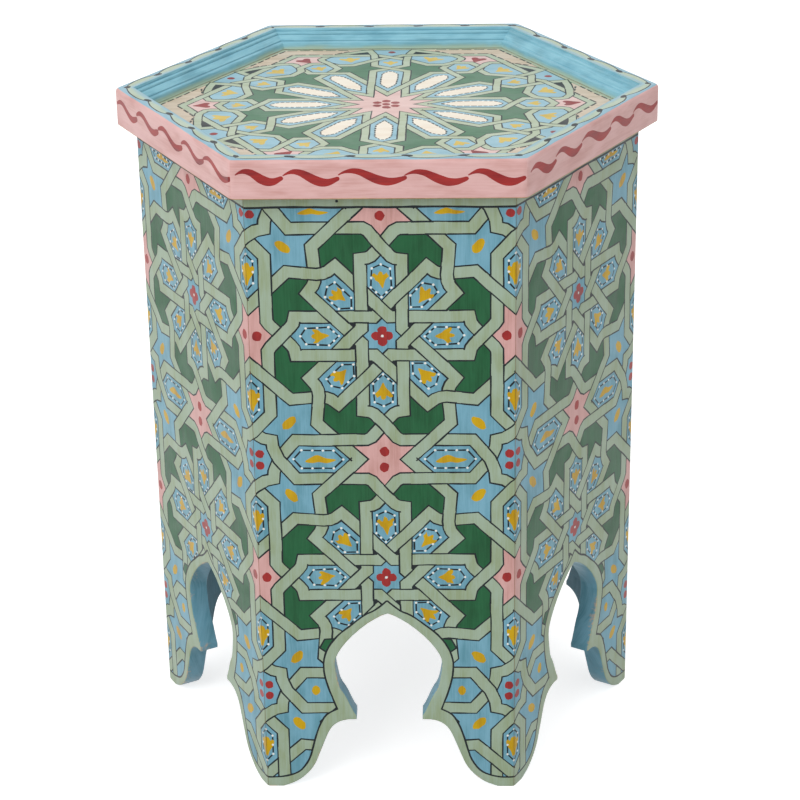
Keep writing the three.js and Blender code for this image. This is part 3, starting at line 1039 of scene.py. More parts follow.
def outline_of(node_name):
    """The outline of a CAD board's outer face, as points across and up."""
    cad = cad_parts[node_name]
    spots = [cad.matrix_world @ v.co for v in cad.data.vertices]
    front = -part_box(node_name)[0][1]
    faces = []
    for polygon in cad.data.polygons:
        corners = [spots[i] for i in polygon.vertices]
        if all(abs(c[1] + front) < 1e-5 for c in corners):
            faces.append([(round(c[0], 6), round(c[2], 6)) for c in corners])
    loop = open_rings(faces)[0]
    return loop if area(loop) > 0 else loop[::-1]


def outward_steps(loop):
    """How each outline point moves as the board's edge rounds over; the mitred sides and the top stay."""
    steps = []
    for point, step in zip(loop, side_steps(loop, closed=True)):
        x, z = -step[0], -step[1]
        if abs(point[0]) > AT_SIDE:
            x = 0.0
            z = -1.0 if point[1] < ARRIS_RADIUS * 2 else 0.0
        if point[1] > AT_TOP:
            x = z = 0.0
        steps.append((x, z))
    return steps


panel_outline = [(x * HALF / (HALF - PAINT_BUILD * MITRE), z) for x, z in outline_of("side_panel_1")]
FOOT_INNER = min(abs(x) for x, z in panel_outline if z < 1e-5)
shrunk = [
    (p[0] - s[0] * ARRIS_RADIUS, p[1] - s[1] * ARRIS_RADIUS)
    for p, s in zip(panel_outline, outward_steps(panel_outline))
]


def stand(number, across, up, depth):
    """A point of panel number, told by its place on the flat net and how far behind the face it lies."""
    size = abs(across)
    bulge = 0.0
    place = size
    if size > FLAT_END:
        turn = (size - FLAT_END) / (HALF - FLAT_END) * SECTOR / 2
        bulge = CORNER_RADIUS * (1 - math.cos(turn))
        place = FLAT_END + CORNER_RADIUS * math.sin(turn)
    behind = depth + bulge * (1 - depth / PANEL_THICKNESS)
    if size > FOOT_INNER:
        edge_bulge = CORNER_RADIUS * (1 - math.cos(SECTOR / 2))
        edge = HALF - MITRE * (depth + edge_bulge * (1 - depth / PANEL_THICKNESS))
        front_edge = HALF - MITRE * edge_bulge
        place = FOOT_INNER + (place - FOOT_INNER) * (edge - FOOT_INNER) / (front_edge - FOOT_INNER)
    outward, along = side_ways(number)
    return outward * (FACE - behind) + along * math.copysign(place, across) + Vector((0, 0, up))


def paint_panel(number):
    painting = Painting(number + 1)
    for row in range(3):
        tile = Tile(painting, PATTERN_TOP - TILE * (1 + 2 * row))
        tile.cells(row)
        tile.weave()
        tile.marks(row, number > 0)
    wide = HALF * 1.1
    high = PANEL_TOP * 1.01
    pattern_edge = [(-wide, PATTERN_TOP), (wide, PATTERN_TOP)]
    painting.fill("border", "sage", pattern_edge + [(wide, high), (-wide, high)])
    painting.stroke("border_lines", "ink", pattern_edge, TOP_LINE_HALF_WIDTH)
    left = [(x * HALF, z * ARCH_RISE) for x, z in BORDER_SHARES]
    left = curved(left[: BORDER_POINT + 1], pieces=3) + curved(left[BORDER_POINT:], pieces=3)[1:]
    right = [(-x, z) for x, z in reversed(left)]
    painting.fill("border", "sage", left[::-1] + right[::-1][1:] + [(wide, -0.01), (-wide, -0.01)])
    for side in (-1, 1):
        patch = [(side * x * HALF, z * ARCH_RISE) for x, z in PATCH_SHARES]
        painting.fill("patches", "leaf", patch)
        painting.stroke("patches", "ink", patch, OUTLINE_HALF_WIDTH)
    painting.stroke("border_lines", "ink", left, ARCH_LINE_HALF_WIDTH)
    painting.stroke("border_lines", "ink", right, ARCH_LINE_HALF_WIDTH)
    # Painted shadow: a dark line along the panel just under the rim
    rim_shadow_height = RIM_BOTTOM - RIM_SHADOW_DROP
    painting.stroke("border_lines", "ink", [(-wide, rim_shadow_height), (wide, rim_shadow_height)], RIM_SHADOW_HALF_WIDTH)
    if number == 0:
        painting.dab("nails", "ink", NAIL_SPOT, NAIL_SPOT_RADIUS)
    return painting


def edge_paint(a, b, level, face_paint):
    """The paint of a stretch of edge. It is bare wood where it meets a neighbour, the rim or the ground."""
    on_side = min(abs(a[0]), abs(b[0])) > AT_SIDE
    low = max(a[1], b[1]) < ARRIS_RADIUS * 1.5
    high = min(a[1], b[1]) > AT_TOP
    if on_side or high or (low and level > 2):
        return "wood"
    return face_paint if level < 2 else "blue"


def make_panel(number):
    painting = paint_panel(number)
    cuts = []
    for side in (-1, 1):
        for share in CORNER_ROWS:
            x = side * (FLAT_END + (HALF - FLAT_END) * share)
            cuts.append([(x, 0), (x, PANEL_TOP)])
    band = walked(inset(shrunk, EDGE_BAND), closed=True, step=EDGE_STEP)
    cuts.append(band + band[:1])
    dense = walked(shrunk, closed=True, step=EDGE_STEP)
    flat, triangles, paints = partition(painting, LAYERS, dense, "leaf", cuts)
    loop = open_rings(triangles)[0]
    steps = outward_steps([flat[i] for i in loop])
    vertices = [stand(number, x, z, 0.0) for x, z in flat]
    strokes = [(x + number * 2 * HALF, z) for x, z in flat]
    wear = [0.0] * len(flat)
    for i in loop:
        on_arch = abs(flat[i][0]) < FLAT_END and flat[i][1] < AT_TOP
        wear[i] = ARCH_WEAR if on_arch else SIDE_WEAR
    faces = list(triangles)
    owner = {}
    for t, paint in zip(triangles, paints):
        for a, b in zip(t, t[1:] + t[:1]):
            owner[(a, b)] = paint
    back = 0.5 * ARRIS_RADIUS
    rings = []
    for turn in (math.pi / 6, math.pi / 3, math.pi / 2):
        rings.append((ARRIS_RADIUS * math.sin(turn), ARRIS_RADIUS * (1 - math.cos(turn))))
    rings += [(ARRIS_RADIUS, PANEL_THICKNESS - back), (ARRIS_RADIUS - back, PANEL_THICKNESS)]
    previous = loop
    for level, (out, depth) in enumerate(rings):
        ring = list(range(len(vertices), len(vertices) + len(loop)))
        for i, step in zip(loop, steps):
            x, z = flat[i][0] + step[0] * out, flat[i][1] + step[1] * out
            vertices.append(stand(number, x, z, depth))
            strokes.append((x + number * 2 * HALF + depth, z))
            wear.append(wear[i] if level < 3 else BACK_WEAR)
        faces += joined(previous, ring)
        for i, after in zip(loop, loop[1:] + loop[:1]):
            paints.append(edge_paint(flat[i], flat[after], level, owner[(i, after)]))
        previous = ring
    out = rings[-1][0]
    ends = [(flat[i][0] + step[0] * out, flat[i][1] + step[1] * out) for i, step in zip(loop, steps)]
    inside = [stand(0, x, z, PANEL_THICKNESS) for x, z in ends]
    corners = [Vector((p[0], p[2])) for p in inside]
    spare = [Vector((x * BACK_STEP, z * BACK_STEP)) for x in range(-7, 8) for z in range(1, 40)]
    net = delaunay_2d_cdt(corners + spare, [], [list(range(len(loop)))], 1, 1e-7)
    number_of = {}
    for place, origins in enumerate(net[3]):
        ring_points = [k for k in origins if k < len(loop)]
        if ring_points:
            number_of[place] = previous[ring_points[0]]
    turned = Matrix.Rotation(number * SECTOR, 3, "Z")
    for t, ids in zip(net[2], net[5]):
        if 0 not in ids:
            continue
        for place in t:
            if place not in number_of:
                number_of[place] = len(vertices)
                x, z = net[0][place]
                vertices.append(turned @ Vector((x, -(FACE - PANEL_THICKNESS), z)))
                strokes.append((x, z))
                wear.append(0.0)
        faces.append(tuple(number_of[place] for place in t)[::-1])
        paints.append("blue")
    piece = make_piece(f"painted_panel_{number + 1}", vertices, faces, paints, strokes, wear)
    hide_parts(f"side_panel_{number + 1}")
    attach(piece, "root")


for panel_number in range(SIDES):
    make_panel(panel_number)


# Rim mouldings
RIM_FACE += PAINT_BUILD / 2
RIM_CORNER_RADIUS = 0.0055
RIM_OUTER_ROUND = 0.003
RIM_SMALL_ROUND = 0.0007
RIM_FLAT_SHARE = 0.5
LIP_UNDER = TRAY + 0.0003
SLOPE_RUN = (RIM_FACE - RIM_LIP) * RIM_FLAT_SHARE
SLOPE_DROP = RIM_TOP - LIP_UNDER
REBATE = RIM_LIP + SLOPE_RUN + 0.0001
SLOPE_SHARES = [
    (0.0, 0.0), (0.02, 0.01), (0.035, 0.04), (0.05, 0.13), (0.065, 0.15), (0.16, 0.165), (0.24, 0.19),
    (0.265, 0.21), (0.285, 0.29), (0.3, 0.31), (0.38, 0.335), (0.5, 0.4), (0.6, 0.47), (0.66, 0.51),
    (0.69, 0.525), (0.71, 0.57), (0.725, 0.585), (0.82, 0.605), (0.9, 0.63), (0.925, 0.655), (0.945, 0.7),
    (0.955, 0.9), (0.97, 0.95), (1.0, 0.98), (1.0, 1.0),
]
# Slope points where a darker blue line is painted as shade in the slope's hollow steps
SHADED_GROOVES = (4, 9, 16)
SWASH_SHARES = [
    (0.0, 0.59, 0.012), (0.09, 0.655, 0.032), (0.2, 0.69, 0.06), (0.32, 0.66, 0.08), (0.42, 0.59, 0.095),
    (0.55, 0.49, 0.108), (0.68, 0.425, 0.104), (0.8, 0.425, 0.085), (0.91, 0.475, 0.062),
    (0.97, 0.51, 0.052), (1.0, 0.53, 0.026),
]
LEFT_SWASH_WIDTHS = (0.028, 0.05, 0.062, 0.068, 0.072, 0.078, 0.082, 0.082, 0.072, 0.06, 0.03)
FRONT_SWASH_SHARES = (-0.962, -0.637, -0.268, 0.177, 0.603, 0.985)
FOOT_PAINT_SHARE = 0.8
FADE_WIDTH = 0.005
SWASHES = 5
SWASH_REACH_SHARE = 0.975
SCALLOPS = 5
SCALLOP_REACH_SHARE = 0.967
SCALLOP_SHARES = [
    (0, 0), (0.01, 0.25), (0.05, 0.6), (0.22, 0.97), (0.44, 1), (0.64, 0.86), (0.83, 0.44), (1, 0),
]
BACK_SCALLOP_SHARES = [(0, 0), (0.07, 0.3), (0.2, 0.66), (0.43, 0.94), (0.68, 0.82), (0.88, 0.42), (1, 0)]
SCALLOP_FOOT = 0.0036
SCALLOP_CREST = 0.0003
SCALLOP_MARGIN = 0.0009
SCALLOP_DAB = 0.0021
SCALLOP_LINE_HALF_WIDTH = 0.0005
CORNER_LINE_HALF_WIDTH = 0.0004
GROOVE_SHADE_HALF_WIDTH = 0.0005

# The mouldings by number: 0 is at the front, and they go round anticlockwise as seen from above
BACKWARD_SCALLOPS = (1, 4, 5)
BACK_MOULDINGS = (2, 3, 4)
# The back moulding's slope gets no painted shade lines
UNSHADED_SLOPE = 2
LEFT_MOULDING = 5
MOULDING_STEP = 0.006
MOULDING_SPACING = 0.009
MOULDING_SMOOTH_ANGLE = 28
RIM_CORNER_ROWS = (0.0, 0.4, 0.72)
CORNER_ROUND_REACH = 0.006
END_WEAR_REACH = 0.003
EDGE_WEAR_REACH = 0.002
FOOT_WEAR_REACH = 0.007
END_WEAR = 0.7
EDGE_WEAR = 0.6
FOOT_WEAR = 0.85


def quarter_round(centre, radius, start, pieces=4):
    """Points round a rounded edge, through a quarter turn from the starting angle in degrees."""
    ring = []
    for k in range(pieces + 1):
        angle = math.radians(start + 90 * k / pieces)
        ring.append((centre[0] + radius * math.cos(angle), centre[1] + radius * math.sin(angle)))
    return ring


def slope_point(run, drop):
    return RIM_LIP + SLOPE_RUN - run * SLOPE_RUN, RIM_TOP - drop * SLOPE_DROP


def moulding_profile():
    """The section of a moulding, from the foot of its outer face up and round, as points out and up."""
    small, large = RIM_SMALL_ROUND, RIM_OUTER_ROUND
    section = [(RIM_FACE, RIM_BOTTOM + small)]
    section += quarter_round((RIM_FACE - large, RIM_TOP - large), large, 0)
    section += [slope_point(run, drop) for run, drop in SLOPE_SHARES]
    section += [(REBATE, LIP_UNDER), (REBATE, RIM_BOTTOM)]
    foot = quarter_round((RIM_FACE - small, RIM_BOTTOM + small), small, -90)
    return section + foot[:-1]


PROFILE = moulding_profile()
GIRTH = [0.0]
for start, end in zip(PROFILE, PROFILE[1:] + PROFILE[:1]):
    GIRTH.append(GIRTH[-1] + distance(start, end))


def girth_at(point):
    """How far round the section its nearest corner point lies."""
    nearest = min(range(len(PROFILE)), key=lambda i: distance(PROFILE[i], point))
    return GIRTH[nearest]


def section_at(girth):
    for i in range(len(PROFILE)):
        if girth <= GIRTH[i + 1] + 1e-9:
            share = (girth - GIRTH[i]) / (GIRTH[i + 1] - GIRTH[i])
            return between(PROFILE[i], PROFILE[(i + 1) % len(PROFILE)], min(max(share, 0.0), 1.0))
    return PROFILE[0]


OUTER_EDGE = girth_at((RIM_FACE - RIM_OUTER_ROUND, RIM_TOP))
INNER_EDGE = girth_at((RIM_LIP + SLOPE_RUN, RIM_TOP))
LIP_FOOT = girth_at((RIM_LIP, LIP_UNDER))


def lay_moulding(number, along, girth):
    """A point of moulding number, told by its place on the unrolled surface."""
    out, up = section_at(girth)
    side = half_side(out)
    size = abs(along)
    shift = recess = 0.0
    flat_end = side - RIM_CORNER_RADIUS * MITRE
    share = max(0.0, 1 - (RIM_FACE - out) / CORNER_ROUND_REACH)
    if size > flat_end and share > 0:
        turn = (size - flat_end) / (side - flat_end) * SECTOR / 2
        recess = RIM_CORNER_RADIUS * (1 - math.cos(turn)) * share
        shift = (flat_end + RIM_CORNER_RADIUS * math.sin(turn) - size) * share
    outward, tangent = side_ways(number)
    return outward * (out - recess) + tangent * math.copysign(size + shift, along) + Vector((0, 0, up))


def paint_moulding(number):
    painting = Painting(number + 21)
    dice = painting.dice
    wide = half_side(RIM_FACE) * 1.05

    def stripe(paint, low, high):
        painting.fill("ground", paint, [(-wide, low), (wide, low), (wide, high), (-wide, high)])

    stripe("rose", -1e-3, OUTER_EDGE - RIM_OUTER_ROUND * 0.5)
    # The rim's top band and scallops are painted in lighter copies of the blue and the sage: painted sheen
    # and light
    stripe("haze", OUTER_EDGE - RIM_OUTER_ROUND * 0.5, INNER_EDGE)
    stripe("sky", INNER_EDGE, LIP_FOOT)
    # Painted shade: darker blue lines along the hollow steps of the slope
    for place in SHADED_GROOVES if number != UNSHADED_SLOPE else ():
        groove = girth_at(slope_point(*SLOPE_SHARES[place]))
        painting.stroke("cells", "groove", [(-wide, groove), (wide, groove)], GROOVE_SHADE_HALF_WIDTH)
    face_height = RIM_TOP - RIM_BOTTOM
    breaks = [share * half_side(RIM_FACE) for share in FRONT_SWASH_SHARES]
    if number > 0:
        spread = SWASH_REACH_SHARE * half_side(RIM_FACE)
        breaks = [spread * (2 * k / SWASHES - 1) + dice.uniform(-0.002, 0.002) for k in range(SWASHES + 1)]
    for start, end in zip(breaks, breaks[1:]):
        span = (end - start) * dice.uniform(0.99, 1.05)
        lift = dice.uniform(-0.02, 0.02)
        fat = dice.uniform(0.96, 1.1)
        path = []
        for (x, z, w), even in zip(SWASH_SHARES, LEFT_SWASH_WIDTHS):
            if number == LEFT_MOULDING:
                w = even
            path.append((start + x * span, (z + lift) * face_height, w * face_height * fat))
        painting.swash("marks", "red", path)
    low_edge = INNER_EDGE - SCALLOP_FOOT
    crest = OUTER_EDGE + SCALLOP_CREST
    spots = []
    for k in range(SCALLOPS + 1):
        at = (k / SCALLOPS - 0.5) * 2 * half_side(RIM_FACE) * SCALLOP_REACH_SHARE
        at += dice.uniform(-0.0015, 0.0015)
        spots.append((at, low_edge - dice.uniform(0, 0.0009)))
    crests = []
    for a, b in zip(spots, spots[1:]):
        top = crest + dice.uniform(0, 0.0009)
        if number in BACKWARD_SCALLOPS:
            a, b = b, a
        arc = []
        for share, lift in BACK_SCALLOP_SHARES if number in BACK_MOULDINGS else SCALLOP_SHARES:
            at, base = between(a, b, share)
            arc.append((at, base + (top - base) * lift))
        if number in BACKWARD_SCALLOPS:
            arc.reverse()
        crests.append(curved(arc, pieces=3))
    first = [(-wide, crest + 0.0015), (spots[0][0] - 0.002, crest + 0.003), spots[0]]
    last = [spots[-1], (spots[-1][0] + 0.002, crest + 0.003), (wide, crest + 0.0015)]
    wave = first + [p for arc in crests for p in arc[1:]] + last[1:]
    inner = INNER_EDGE - SCALLOP_MARGIN
    painting.fill("cells", "mist", wave + [(wide, inner), (-wide, inner)])
    painting.stroke("over_lines", "ink", first, CORNER_LINE_HALF_WIDTH)
    painting.stroke("over_lines", "ink", last, CORNER_LINE_HALF_WIDTH)
    for arc in crests:
        painting.stroke("over_lines", "ink", arc, SCALLOP_LINE_HALF_WIDTH, taper=0.4)
    for spot in spots:
        painting.dab("nails", "ink", spot, SCALLOP_DAB, 1.9, dice.uniform(-0.3, 0.3))
    return painting


def seam_twins(flat):
    """Each point at the end of the section's girth, and the point at its start that it meets."""
    starts = {round(along, 6): i for i, (along, girth) in enumerate(flat) if girth < 1e-7}
    twin = {}
    for i, (along, girth) in enumerate(flat):
        if girth > GIRTH[-1] - 1e-7:
            match = min(starts, key=lambda a: abs(a - along))
            if abs(match - along) < 2e-5:
                twin[i] = starts[match]
    return twin


def end_faces(vertices, ring, number):
    """The sawn end of a moulding as triangles that look outward."""
    corners = [Vector((vertices[i].xy.length, vertices[i].z)) for i in ring]
    order = list(range(len(ring)))
    if area([tuple(c) for c in corners]) <= 0:
        order.reverse()
    net = delaunay_2d_cdt([corners[k] for k in order], [], [list(range(len(ring)))], 1, 1e-8)
    where = {place: ring[order[origins[0]]] for place, origins in enumerate(net[3]) if origins}
    centre = sum((vertices[i] for i in ring), Vector()) / len(ring)
    tangent = side_ways(number)[1]
    way = tangent * (1 if centre.dot(tangent) > 0 else -1)
    faces = []
    for t, ids in zip(net[2], net[5]):
        if 0 in ids:
            trio = [where[i] for i in t]
            a, b, c = (vertices[i] for i in trio)
            if (b - a).cross(c - a).dot(way) < 0:
                trio.reverse()
            faces.append(tuple(trio))
    return faces


def make_moulding(number):
    painting = paint_moulding(number)
    sides = [(half_side(section_at(g)[0]), g) for g in GIRTH]
    unrolled = sides + [(-side, g) for side, g in reversed(sides)]
    cuts = []
    for side, g in sides[1:-1]:
        cuts.append(walked([(-side, g), (side, g)], step=MOULDING_STEP))
    inner_side = half_side(RIM_LIP + SLOPE_RUN)
    worked_edge = INNER_EDGE - FADE_WIDTH
    cuts.append(walked([(-inner_side, worked_edge), (inner_side, worked_edge)], step=MOULDING_STEP))
    for end in (-1, 1):
        for share in RIM_CORNER_ROWS:
            rounded = RIM_CORNER_RADIUS * MITRE * (1 - share)
            cuts.append([(end * (side - rounded), g) for side, g in sides])
    outline = []
    for a, b in zip(unrolled, unrolled[1:] + unrolled[:1]):
        flat_run = abs(a[1] - b[1]) < 1e-9
        outline += walked([a, b], step=MOULDING_STEP)[:-1] if flat_run else [a]
    flat, triangles, paints = partition(painting, LAYERS, outline, "wood", cuts, MOULDING_SPACING)
    vertices = [lay_moulding(number, along, girth) for along, girth in flat]
    strokes = [(girth, along + number * 0.31) for along, girth in flat]
    foot = INNER_EDGE + (LIP_FOOT - INNER_EDGE) * FOOT_PAINT_SHARE
    wear = []
    fades = []
    for along, girth in flat:
        out, _ = section_at(girth)
        near_end = max(0.0, 1 - (half_side(out) - abs(along)) / END_WEAR_REACH)
        near_edge = max(0.0, 1 - abs(girth - OUTER_EDGE + RIM_OUTER_ROUND * 0.8) / EDGE_WEAR_REACH)
        near_foot = max(0.0, 1 - girth / FOOT_WEAR_REACH)
        wear.append(max(near_end * END_WEAR, near_edge * EDGE_WEAR, near_foot * FOOT_WEAR))
        if girth > INNER_EDGE:
            fades.append(min(max((girth - foot) / (LIP_FOOT - foot), 0.0), 1.0))
        else:
            fades.append(min(max(1 - (INNER_EDGE - girth) / FADE_WIDTH, 0.0), 1.0))
    twin = seam_twins(flat)
    faces, kept_paints = [], []
    for t, paint in zip(triangles, paints):
        closed = tuple(twin.get(i, i) for i in t)
        if len(set(closed)) == 3:
            faces.append(closed)
            kept_paints.append(paint)
    for ring in open_rings(faces):
        ends = end_faces(vertices, ring, number)
        faces += ends
        kept_paints += ["wood"] * len(ends)
    name = f"painted_moulding_{number + 1}"
    piece = make_piece(name, vertices, faces, kept_paints, strokes, wear, MOULDING_SMOOTH_ANGLE, fades)
    clear_loose(piece)
    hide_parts(f"rim_moulding_{number + 1}")
    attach(piece, "root")


def clear_loose(piece):
    """Drops the points that the joined seam leaves behind."""
    mesh = bmesh.new()
    mesh.from_mesh(piece.data)
    loose = [v for v in mesh.verts if not v.link_faces]
    bmesh.ops.delete(mesh, geom=loose, context="VERTS")
    mesh.to_mesh(piece.data)
    mesh.free()


for moulding_number in range(SIDES):
    make_moulding(moulding_number)


# Tray
# Shares of the tray's radius across its flats, in the frame of a petal that points up
TRAY_RADIUS = RIM_LIP
TRAY_STRAP_HALF_WIDTH = 0.003
TRAY_LINE_HALF_WIDTH = 0.0005
TRAY_CLEARANCE = 0.0003
TRAY_EDGE_STEP = 0.01
TRAY_SPACING = 0.009
# The tray takes lighter copies of the panel paints, which paint in the sheen and light on its upward face
TRAY_LIT_POTS = {
    "leaf": "pale leaf", "sage": "pale sage", "blue": "pale blue", "pink": "pale pink",
    "yellow": "pale yellow",
}
STAR_VALLEY = (0, 0.175)
STAR_CROSSING = (0.0875, 0.327)
TIP_CROSSING = (0, 0.63)
SHOULDER_CROSSING = (0.082, 0.79)
EDGE_CROSSING = (0, 0.836)
GATE_CROSSING = (0.088, 0.874)
TAIL_CROSSING = (0.309, 0.874)
PETAL_SHARES = two_sided([STAR_VALLEY, STAR_CROSSING, (0.0875, 0.58), TIP_CROSSING])
ALMOND_SHARES = two_sided([(0, 0.268), (0.04, 0.345), (0.043, 0.45), (0.04, 0.53), (0.012, 0.574)])
BEAD_SHARES = two_sided([TIP_CROSSING, (0.082, 0.682), SHOULDER_CROSSING, EDGE_CROSSING])
ARM_SHARES = [(-0.0875, 0.58), TIP_CROSSING, (0.082, 0.682), SHOULDER_CROSSING]
GATE_TAIL_SHARES = [
    GATE_CROSSING, (0.1, 0.915), (0.116, 0.962), (0.18, 0.938), (0.25, 0.904), (0.335, 0.858),
    (0.366, 0.81), (0.3625, 0.784),
]
CORNER_TAIL_SHARES = [(0.078, 0.86), (0.088, 0.885)]
INNER_SHARES = [
    EDGE_CROSSING, SHOULDER_CROSSING, (0.192, 0.69), (0.28, 0.69), (0.324, 0.725), (0.4155, 0.7197),
]
OUTER_SHARES = [EDGE_CROSSING, (0.062, 0.872), (0.09, 0.874), (0.5046, 0.874)]
WEDGE_SHARES = INNER_SHARES[1:5] + GATE_TAIL_SHARES[:4:-1] + [TAIL_CROSSING, GATE_CROSSING]
SPANDREL_SHARES = [EDGE_CROSSING, SHOULDER_CROSSING, GATE_CROSSING, (0.062, 0.872)]
FIN_SHARES = GATE_TAIL_SHARES[:5] + [TAIL_CROSSING]
PINK_POINT_SHARES = two_sided([
    (0, 0.831), SHOULDER_CROSSING, (0.078, 0.86), (0.088, 0.885), (0.137, 0.908), (0.169, 0.911), (0, 1.009),
])
GATE_SHARES = two_sided([EDGE_CROSSING, (0.062, 0.872), GATE_CROSSING, (0.105, 0.93), (0.13, 0.975)])
MARGIN_SHARES = [TAIL_CROSSING, (0.16, 0.976), (0.5635, 0.976), (0.5046, 0.874)]
MARGIN_ROW_SHARES = [
    [(0.225, 0.976), (0.5635, 0.976)], [(0.3, 0.897), (0.518, 0.897)], [(0.222, 0.958), (0.292, 0.908)],
]
BAND_SHARE = 0.979
BAND_SHARES = [(-0.62, BAND_SHARE), (0.62, BAND_SHARE), (0.7, 1.12), (-0.7, 1.12)]
BAND_LINE_SHARES = [(-0.13, BAND_SHARE), (0.13, BAND_SHARE)]
OUTWARD_HEARTS = (1, 4)
HEART_SHARES = [
    (0, -0.055), (0.022, -0.02), (0.04, 0.008), (0.038, 0.026), (0.02, 0.032), (0, 0.02), (-0.02, 0.034),
    (-0.038, 0.026), (-0.038, 0.006), (-0.02, -0.024),
]
HEART_SHARE = 0.905
BEAD_TULIP_SHARE = 0.733
BEAD_TULIP_BREADTH = 1.2
WEDGE_TULIP_SHARES = (0.215, 0.795)
WEDGE_TULIP_BREADTH = 1.45
GATE_DAB_SHARE = 0.935
STAR_TIP_DAB_SHARE = 0.052
GATE_DAB = 0.0029
STAR_TIP_DAB = 0.0032
MIDDLE_DAB = 0.003
ALMOND_PITCH = 0.0045
MARGIN_PITCH = 0.0094
SHORT_ROW = 0.02
SHORT_ROW_PITCH = 0.0056
MARGIN_GROUND_HALF_WIDTH = 0.0008
MARGIN_DASH_HALF_WIDTH = 0.0007
BAND_LINE_HALF_WIDTH = 0.0004
TRAY_STEP = 0.003


def about(points, turn):
    """Points turned about the tray's middle."""
    c, s = math.cos(turn), math.sin(turn)
    return [(c * x - s * y, s * x + c * y) for x, y in points]


def on_tray(shares, turn=0.0, mirrored=False):
    if mirrored:
        shares = [(-x, y) for x, y in shares]
    return [(x * TRAY_RADIUS, y * TRAY_RADIUS) for x, y in about(shares, turn)]


def across_corner(point):
    """The mirror image of a point about the axis of the corner to its right."""
    x, y = about([point], math.pi / 6)[0]
    return about([(-x, y)], -math.pi / 6)[0]


def lay_tray_weave(painting):
    straps = []
    for k in range(12):
        turn = k * math.pi / 6
        to_corner = k % 2 == 0
        tail = CORNER_TAIL_SHARES if to_corner else GATE_TAIL_SHARES
        right = [STAR_VALLEY] + about(ARM_SHARES + tail, -math.pi / 6)
        left = [(-x, y) for x, y in reversed(right)][:-1]
        crossings = [(STAR_CROSSING, True)]
        outer = [(TIP_CROSSING, False), (SHOULDER_CROSSING, True)]
        if not to_corner:
            outer += [(GATE_CROSSING, False), (TAIL_CROSSING, True)]
        crossings += [(about([spot], -math.pi / 6)[0], over) for spot, over in outer]
        stops = []
        for mirrored in (False, True):
            for spot, over in crossings:
                stops.append((on_tray([spot], turn, mirrored)[0], over != mirrored))
        straps.append((walked(on_tray(left + right, turn), step=TRAY_STEP), stops))
    beside_corner = about([(-SHOULDER_CROSSING[0], SHOULDER_CROSSING[1])], -math.pi / 6)[0]
    for k in range(6):
        turn = k * SECTOR
        for shares, levels in (
            (INNER_SHARES, [(EDGE_CROSSING, True), (SHOULDER_CROSSING, False), (beside_corner, True)]),
            (OUTER_SHARES, [(EDGE_CROSSING, False), (GATE_CROSSING, True), (TAIL_CROSSING, False)]),
        ):
            path = shares + [across_corner(point) for point in reversed(shares[:-1])]
            stops = levels + [(across_corner(spot), not over) for spot, over in levels]
            stops = [(on_tray([spot], turn)[0], over) for spot, over in stops]
            straps.append((walked(on_tray(path, turn), step=TRAY_STEP), stops))
    lay_straps(painting, straps, TRAY_STRAP_HALF_WIDTH, TRAY_LINE_HALF_WIDTH)


def tray_tulip(painting, spot, turn, size, broad):
    bloom = curved([(x * TILE * broad, y * TILE) for x, y in TULIP_SHARES], closed=True, pieces=3)
    painting.lay("marks", "yellow", moved(bloom, spot, turn, size))


def paint_petals(painting):
    """The star in the middle, with its twelve petals and the beads round them."""
    dice = painting.dice
    star = []
    for k in range(12):
        star += on_tray([STAR_VALLEY, (-STAR_CROSSING[0], STAR_CROSSING[1])], k * math.pi / 6)
    painting.fill("cells", "pink", star)
    for k in range(12):
        turn = k * math.pi / 6
        painting.fill("cells", "blue", on_tray(PETAL_SHARES, turn))
        painting.fill("cells", "blue", on_tray(BEAD_SHARES, turn))
        almond = on_tray(ALMOND_SHARES, turn)
        painting.fill("cells_top", "cream", almond)
        painting.dashes("dashes", almond, True, ALMOND_PITCH, DASH_HALF_WIDTH, 0)
        spot = on_tray([(0, BEAD_TULIP_SHARE)], turn)[0]
        lean = turn + dice.uniform(-0.2, 0.2)
        tray_tulip(painting, spot, lean, dice.uniform(0.78, 0.88), BEAD_TULIP_BREADTH)


def paint_margins(painting, turn, mirrored):
    """One half of a sector between the beads and the rim."""
    dice = painting.dice
    painting.fill("cells", "sand", on_tray(MARGIN_SHARES, turn, mirrored))
    painting.fill("cells", "blue", on_tray(WEDGE_SHARES, turn, mirrored))
    painting.fill("cells", "ink", on_tray(SPANDREL_SHARES, turn, mirrored))
    painting.fill("cells", "ink", on_tray(FIN_SHARES, turn, mirrored))
    for shares in MARGIN_ROW_SHARES:
        row = on_tray(shares, turn, mirrored)
        painting.stroke("dashes", "sand", row, MARGIN_GROUND_HALF_WIDTH)
        pitch = MARGIN_PITCH if distance(*row) > SHORT_ROW else SHORT_ROW_PITCH
        painting.dashes("dashes", row, False, pitch, MARGIN_DASH_HALF_WIDTH, 0)
    lean = turn + (math.pi / 12 if mirrored else -math.pi / 12) + dice.uniform(-0.25, 0.25)
    spot = on_tray([WEDGE_TULIP_SHARES], turn, mirrored)[0]
    tray_tulip(painting, spot, lean, dice.uniform(0.95, 1.08), WEDGE_TULIP_BREADTH)


